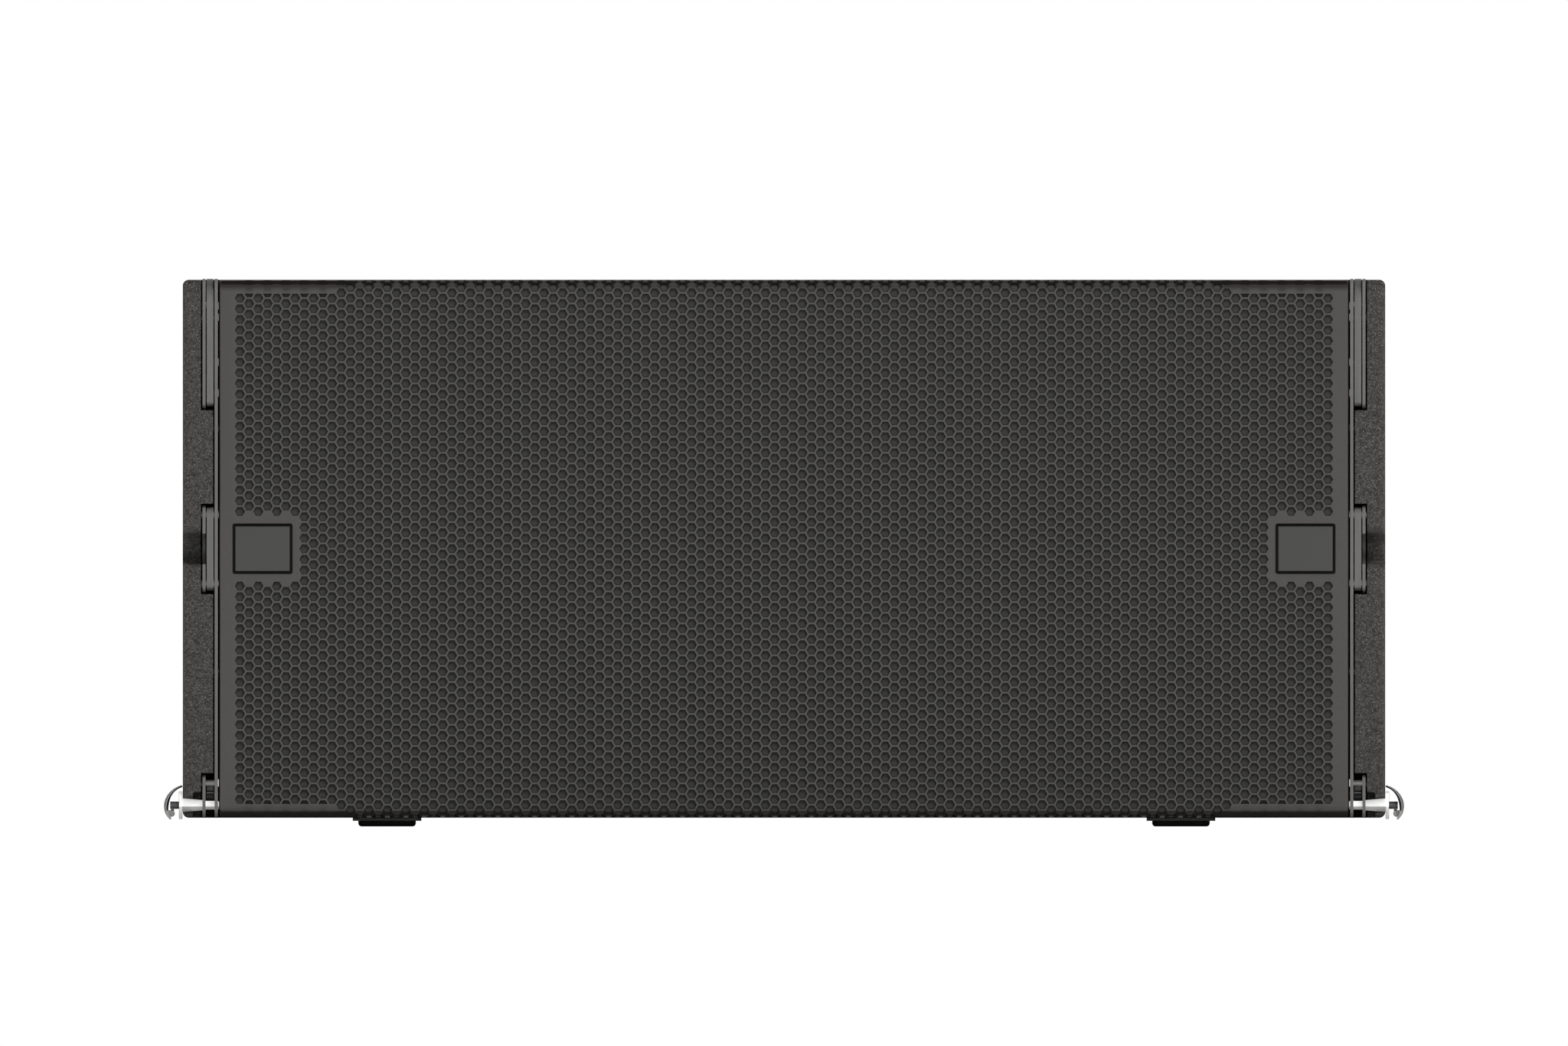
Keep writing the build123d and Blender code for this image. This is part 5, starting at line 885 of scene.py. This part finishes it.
def plywood():
    """Painted birch ply inside the cabinet: faint veneer lines under thin black paint."""
    material, tree = surface_of("painted birch ply")
    lines = placed(tree, BRUSHING, Stretch=(9.0, 260.0, 160.0))
    skin = placed(tree, GRAIN, Scale=700.0, Contrast=0.6)
    edges = placed(tree, EDGES, Radius=0.0006, Amount=0.3)
    base = blended(tree, lines["Tone"], srgb(33, 31, 29), srgb(44, 41, 37))
    base = blended(tree, edges["Mask"], base, srgb(120, 96, 64))
    return finished(material, base, 0.8, 0.14, skin["Height"], edges, 0.3)


def display_glass():
    """Dark glass over a display that is switched off: faint cell grid deep under a clear coat."""
    material, tree = surface_of("display glass", {"Coat Weight": 1.0, "Coat Roughness": 0.03})
    across, _, up = parts_of(tree, object_place(tree))
    rows, columns = (spread(tree, maths(tree, "PINGPONG", along, 0.0006), HAIR, 0.0)
                     for along in (across, up))
    base = blended(tree, maths(tree, "MAXIMUM", rows, columns), srgb(20, 24, 27), srgb(30, 35, 38))
    skin = placed(tree, GRAIN, Scale=120.0, Contrast=0.2)
    edges = placed(tree, EDGES, Radius=0.0005, Amount=0.1)
    return finished(material, base, 0.09, 0.08, skin["Height"], edges, 0.02)


def pulp_cone():
    """Pressed paper: flattened fibres in every direction."""
    material, tree = surface_of("pressed paper cone")
    values = {"Vector": object_place(tree), "Scale": 260.0, "Detail": 5.0, "Distortion": 2.5}
    warped = add(tree, "ShaderNodeTexNoise", values).outputs[0]
    edges = placed(tree, EDGES, Radius=0.0005, Amount=0.1)
    base = blended(tree, spread(tree, warped, 0.4, 0.6), srgb(30, 30, 31), srgb(52, 51, 50))
    return finished(material, base, 0.85, 0.1, warped, edges, 0.4)


def dress(material, *wearers):
    """Puts a finish on the nodes named, where SIDE stands for left and right."""
    for wearer in wearers:
        for side in ("left", "right"):
            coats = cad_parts[wearer.replace("SIDE", side)].data.materials
            coats.clear()
            coats.append(material)
    return material


dress(textured_cabinet_paint(), "cabinet_shell")
GRILLE_COAT = dress(sprayed("grille powder coat", (21, 18, 14), 0.22, grain=1900.0, depth=0.2,
                            edge=0.00025, wear=0.1, worn=(110, 109, 106), dust=0.01, specular=0.96,
                            change=0.05), "front_grille")
FOAM_COAT = dress(open_cell_foam(), "grille_foam")
RIM_COAT = dress(moulded("gloss badge rim", (6, 6, 6), 0.3, depth=0.03, dust=0.01, edge=0.0003,
                         specular=0.08), "badge_frames")
BADGE_COAT = dress(sprayed("satin badge plate", (51, 51, 50), 0.38, grain=2600.0, depth=0.06, wear=0.05,
                           dust=0.02), "badge_faces")
dress(sprayed("rigging plate coat", (89, 88, 87), 0.45, grain=2300.0, depth=0.12, edge=0.0003, wear=0.25),
      "inner_plate_SIDE", "upper_plate_SIDE", "middle_plate_SIDE", "lower_plate_SIDE")
dress(bare_metal("phosphated link steel", (106, 106, 104), 0.5, stretch=UPRIGHT, metallic=0.5),
      "front_link_SIDE", "parking_block_SIDE")
dress(rivet_steel(), "rigging_rivets_SIDE", "rigging_screws")
dress(bare_metal("plated rear screws", (150, 150, 148), 0.36, metallic=0.7), "rear_screws")
dress(pin_steel(), "front_pin_SIDE")
dress(bare_metal("plated rear pin", (235, 235, 233), 0.25, stretch=TURNED, depth=0.03, change=0.06,
                 metallic=0.6), "rear_pin_SIDE")
dress(lever_steel(), "front_lever_SIDE")
dress(stop_steel(), "lower_stops")
dress(bare_metal("blackened screws", (58, 58, 58), 0.36), "driver_screws", "grille_screws", "panel_screws")
dress(moulded("foot plate", (104, 104, 102), 0.45), "foot_plates")
dress(moulded("foot rubber", (20, 20, 20), 0.7, grain=1200.0, depth=0.2), "rubber_feet")
dress(sprayed("amplifier panel paint", (50, 50, 51), 0.5, wear=0.15), "amplifier_panel")
dress(bare_metal("folded chassis", (176, 177, 178), 0.38), "amplifier_chassis")
dress(moulded("circuit boards", (22, 60, 42), 0.45), "amplifier_boards")
dress(sprayed("anodised heatsink", (36, 36, 37), 0.34, grain=2600.0, depth=0.05, wear=0.3), "heatsink")
dress(moulded("mains socket shell", (46, 70, 112), 0.42), "mains_sockets")
dress(bare_metal("network socket shell", (150, 152, 156), 0.3), "network_sockets")
dress(moulded("signal socket shell", (32, 32, 33), 0.4), "signal_sockets")
dress(display_glass(), "display_window")
dress(moulded("knob rubber", (28, 28, 29), 0.62), "encoder_knob")
dress(sprayed("cast basket", (46, 46, 47), 0.55), "woofer_SIDE_basket")
dress(sprayed("magnet steel", (70, 72, 74), 0.5), "woofer_SIDE_magnet")
dress(sprayed("driver housing", (38, 38, 40), 0.5), "compression_driver_upper", "compression_driver_lower")
dress(pulp_cone(), "woofer_SIDE_cone")
dress(moulded("horn moulding", (30, 30, 30), 0.5), "hf_waveguide")
dress(moulded("port tubes", (26, 26, 26), 0.55), "bass_ports")
dress(plywood(), "front_baffle", "cabinet_braces")
dress(moulded("handle cup", (36, 36, 36), 0.58, grain=1100.0, depth=0.3), "handle_cup_SIDE")
dress(sprayed("rear rigging coat", (52, 52, 52), 0.5, wear=0.5, worn=(140, 140, 140)), "rear_bracket_SIDE")
dress(bare_metal("rear link steel", (132, 132, 130), 0.38, stretch=UPRIGHT), "rear_link_SIDE")

# ---------- new pieces
perforated_grille(GRILLE_COAT)
foam_low, foam_high = (np.array(corner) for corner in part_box("grille_foam"))
grille_low, grille_high = (np.array(corner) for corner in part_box("front_grille"))
foam_low[1] += FOAM_SETBACK * MM
foam_low[2] = grille_low[2] + (SHEET + FOAM_AIR) * MM
foam_high[2] = grille_high[2] - (SHEET + FOAM_AIR) * MM
foam = soft_slab("acoustic_foam", foam_low, foam_high, (BEND - SHEET) * MM, FOAM_SWELL, FOAM_COAT)
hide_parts("grille_foam")
badges(RIM_COAT, BADGE_COAT)


# ---------- stage
def pale_floor():
    """Wide pale floor, a single sheet just under the feet, with a painted contact shade close to the
    cabinet that only reflections see.
    """
    ends = (-FLOOR_HALF, FLOOR_HALF)
    mesh = bpy.data.meshes.new("floor")
    mesh.from_pydata([(x, y, -FLOOR_DROP) for y in ends for x in ends], [], [[0, 1, 3, 2]])
    made = bpy.data.objects.new("floor", mesh)
    bpy.context.scene.collection.objects.link(made)
    material, tree = surface_of("pale floor", {"Roughness": 0.7})
    place = parts_of(tree, object_place(tree))
    sides = []
    for axis in (0, 1):
        centre = (cad_low[axis] + cad_high[axis]) / 2
        off = maths(tree, "ABSOLUTE", maths(tree, "SUBTRACT", place[axis], centre))
        sides.append(maths(tree, "SUBTRACT", off, (cad_high[axis] - cad_low[axis]) / 2))
    away = maths(tree, "MAXIMUM", *sides)
    mirrored = tree.nodes.new("ShaderNodeLightPath").outputs["Is Glossy Ray"]
    # painted contact shade, seen only in reflections
    shade = product(tree, spread(tree, away, CONTACT[1], CONTACT[0]), mirrored)
    tone = blended(tree, shade, grey(FLOOR_TONE), grey(CONTACT_TONE))
    tree.links.new(tone, inputs_of(material)["Base Color"])
    mesh.materials.append(material)


def soft_light(name, place, aim, width, height, power):
    """A large area light at a place, turned to its aim, that no gloss mirrors."""
    data = bpy.data.lights.new(name, "AREA")
    data.shape = "RECTANGLE"
    data.size = width
    data.size_y = height
    data.energy = power
    made = bpy.data.objects.new(name, data)
    bpy.context.scene.collection.objects.link(made)
    made.location = place
    made.rotation_euler = (Vector(aim) - Vector(place)).to_track_quat("-Z", "Y").to_euler()
    made.visible_glossy = False


def white_surroundings(seen, band, walls, ceiling):
    """White as seen; for the object, a bright band at eye level, then walls and a dark ceiling."""
    world = bpy.data.worlds.new("surroundings")
    bpy.context.scene.world = world
    world.use_nodes = True
    tree = world.node_tree
    tree.nodes.clear()
    path = tree.nodes.new("ShaderNodeLightPath").outputs["Is Camera Ray"]
    height = parts_of(tree, tree.nodes.new("ShaderNodeTexCoord").outputs["Generated"])[2]
    upper = spread(tree, height, *WALLS, walls - ceiling, 0.0)
    lower = spread(tree, height, *BAND, band - walls, 0.0)
    strength = maths(tree, "ADD", maths(tree, "ADD", upper, lower), ceiling)
    dim = add(tree, "ShaderNodeBackground", {"Color": grey(1.0), "Strength": strength})
    bright = add(tree, "ShaderNodeBackground", {"Color": grey(1.0), "Strength": seen})
    chosen = add(tree, "ShaderNodeMixShader", {0: path, 1: dim.outputs[0], 2: bright.outputs[0]})
    add(tree, "ShaderNodeOutputWorld", {0: chosen.outputs[0]})


pale_floor()
white_surroundings(seen=1.0, band=1.0, walls=0.4, ceiling=0.02)
soft_light("overhead", place=(2.4, -5.2, 6.2), aim=(0.6, -2.0, -0.2), width=4.4, height=3.2, power=740.0)
soft_light("back and top", place=(-0.4, 2.8, 2.3), aim=(0.0, 0.1, 0.16), width=2.6, height=1.8, power=130.0)

camera_data = bpy.data.cameras.new("camera")
camera_data.type = "ORTHO"
camera_data.ortho_scale = VIEW_WIDTH
camera_data.clip_end = 50.0
camera = bpy.data.objects.new("camera", camera_data)
bpy.context.scene.collection.objects.link(camera)
camera.location = (0.0, -VIEW_DISTANCE, VIEW_HEIGHT)
camera.rotation_euler = (pi / 2, 0.0, 0.0)
bpy.context.scene.camera = camera
bpy.context.scene.view_settings.view_transform = "Standard"
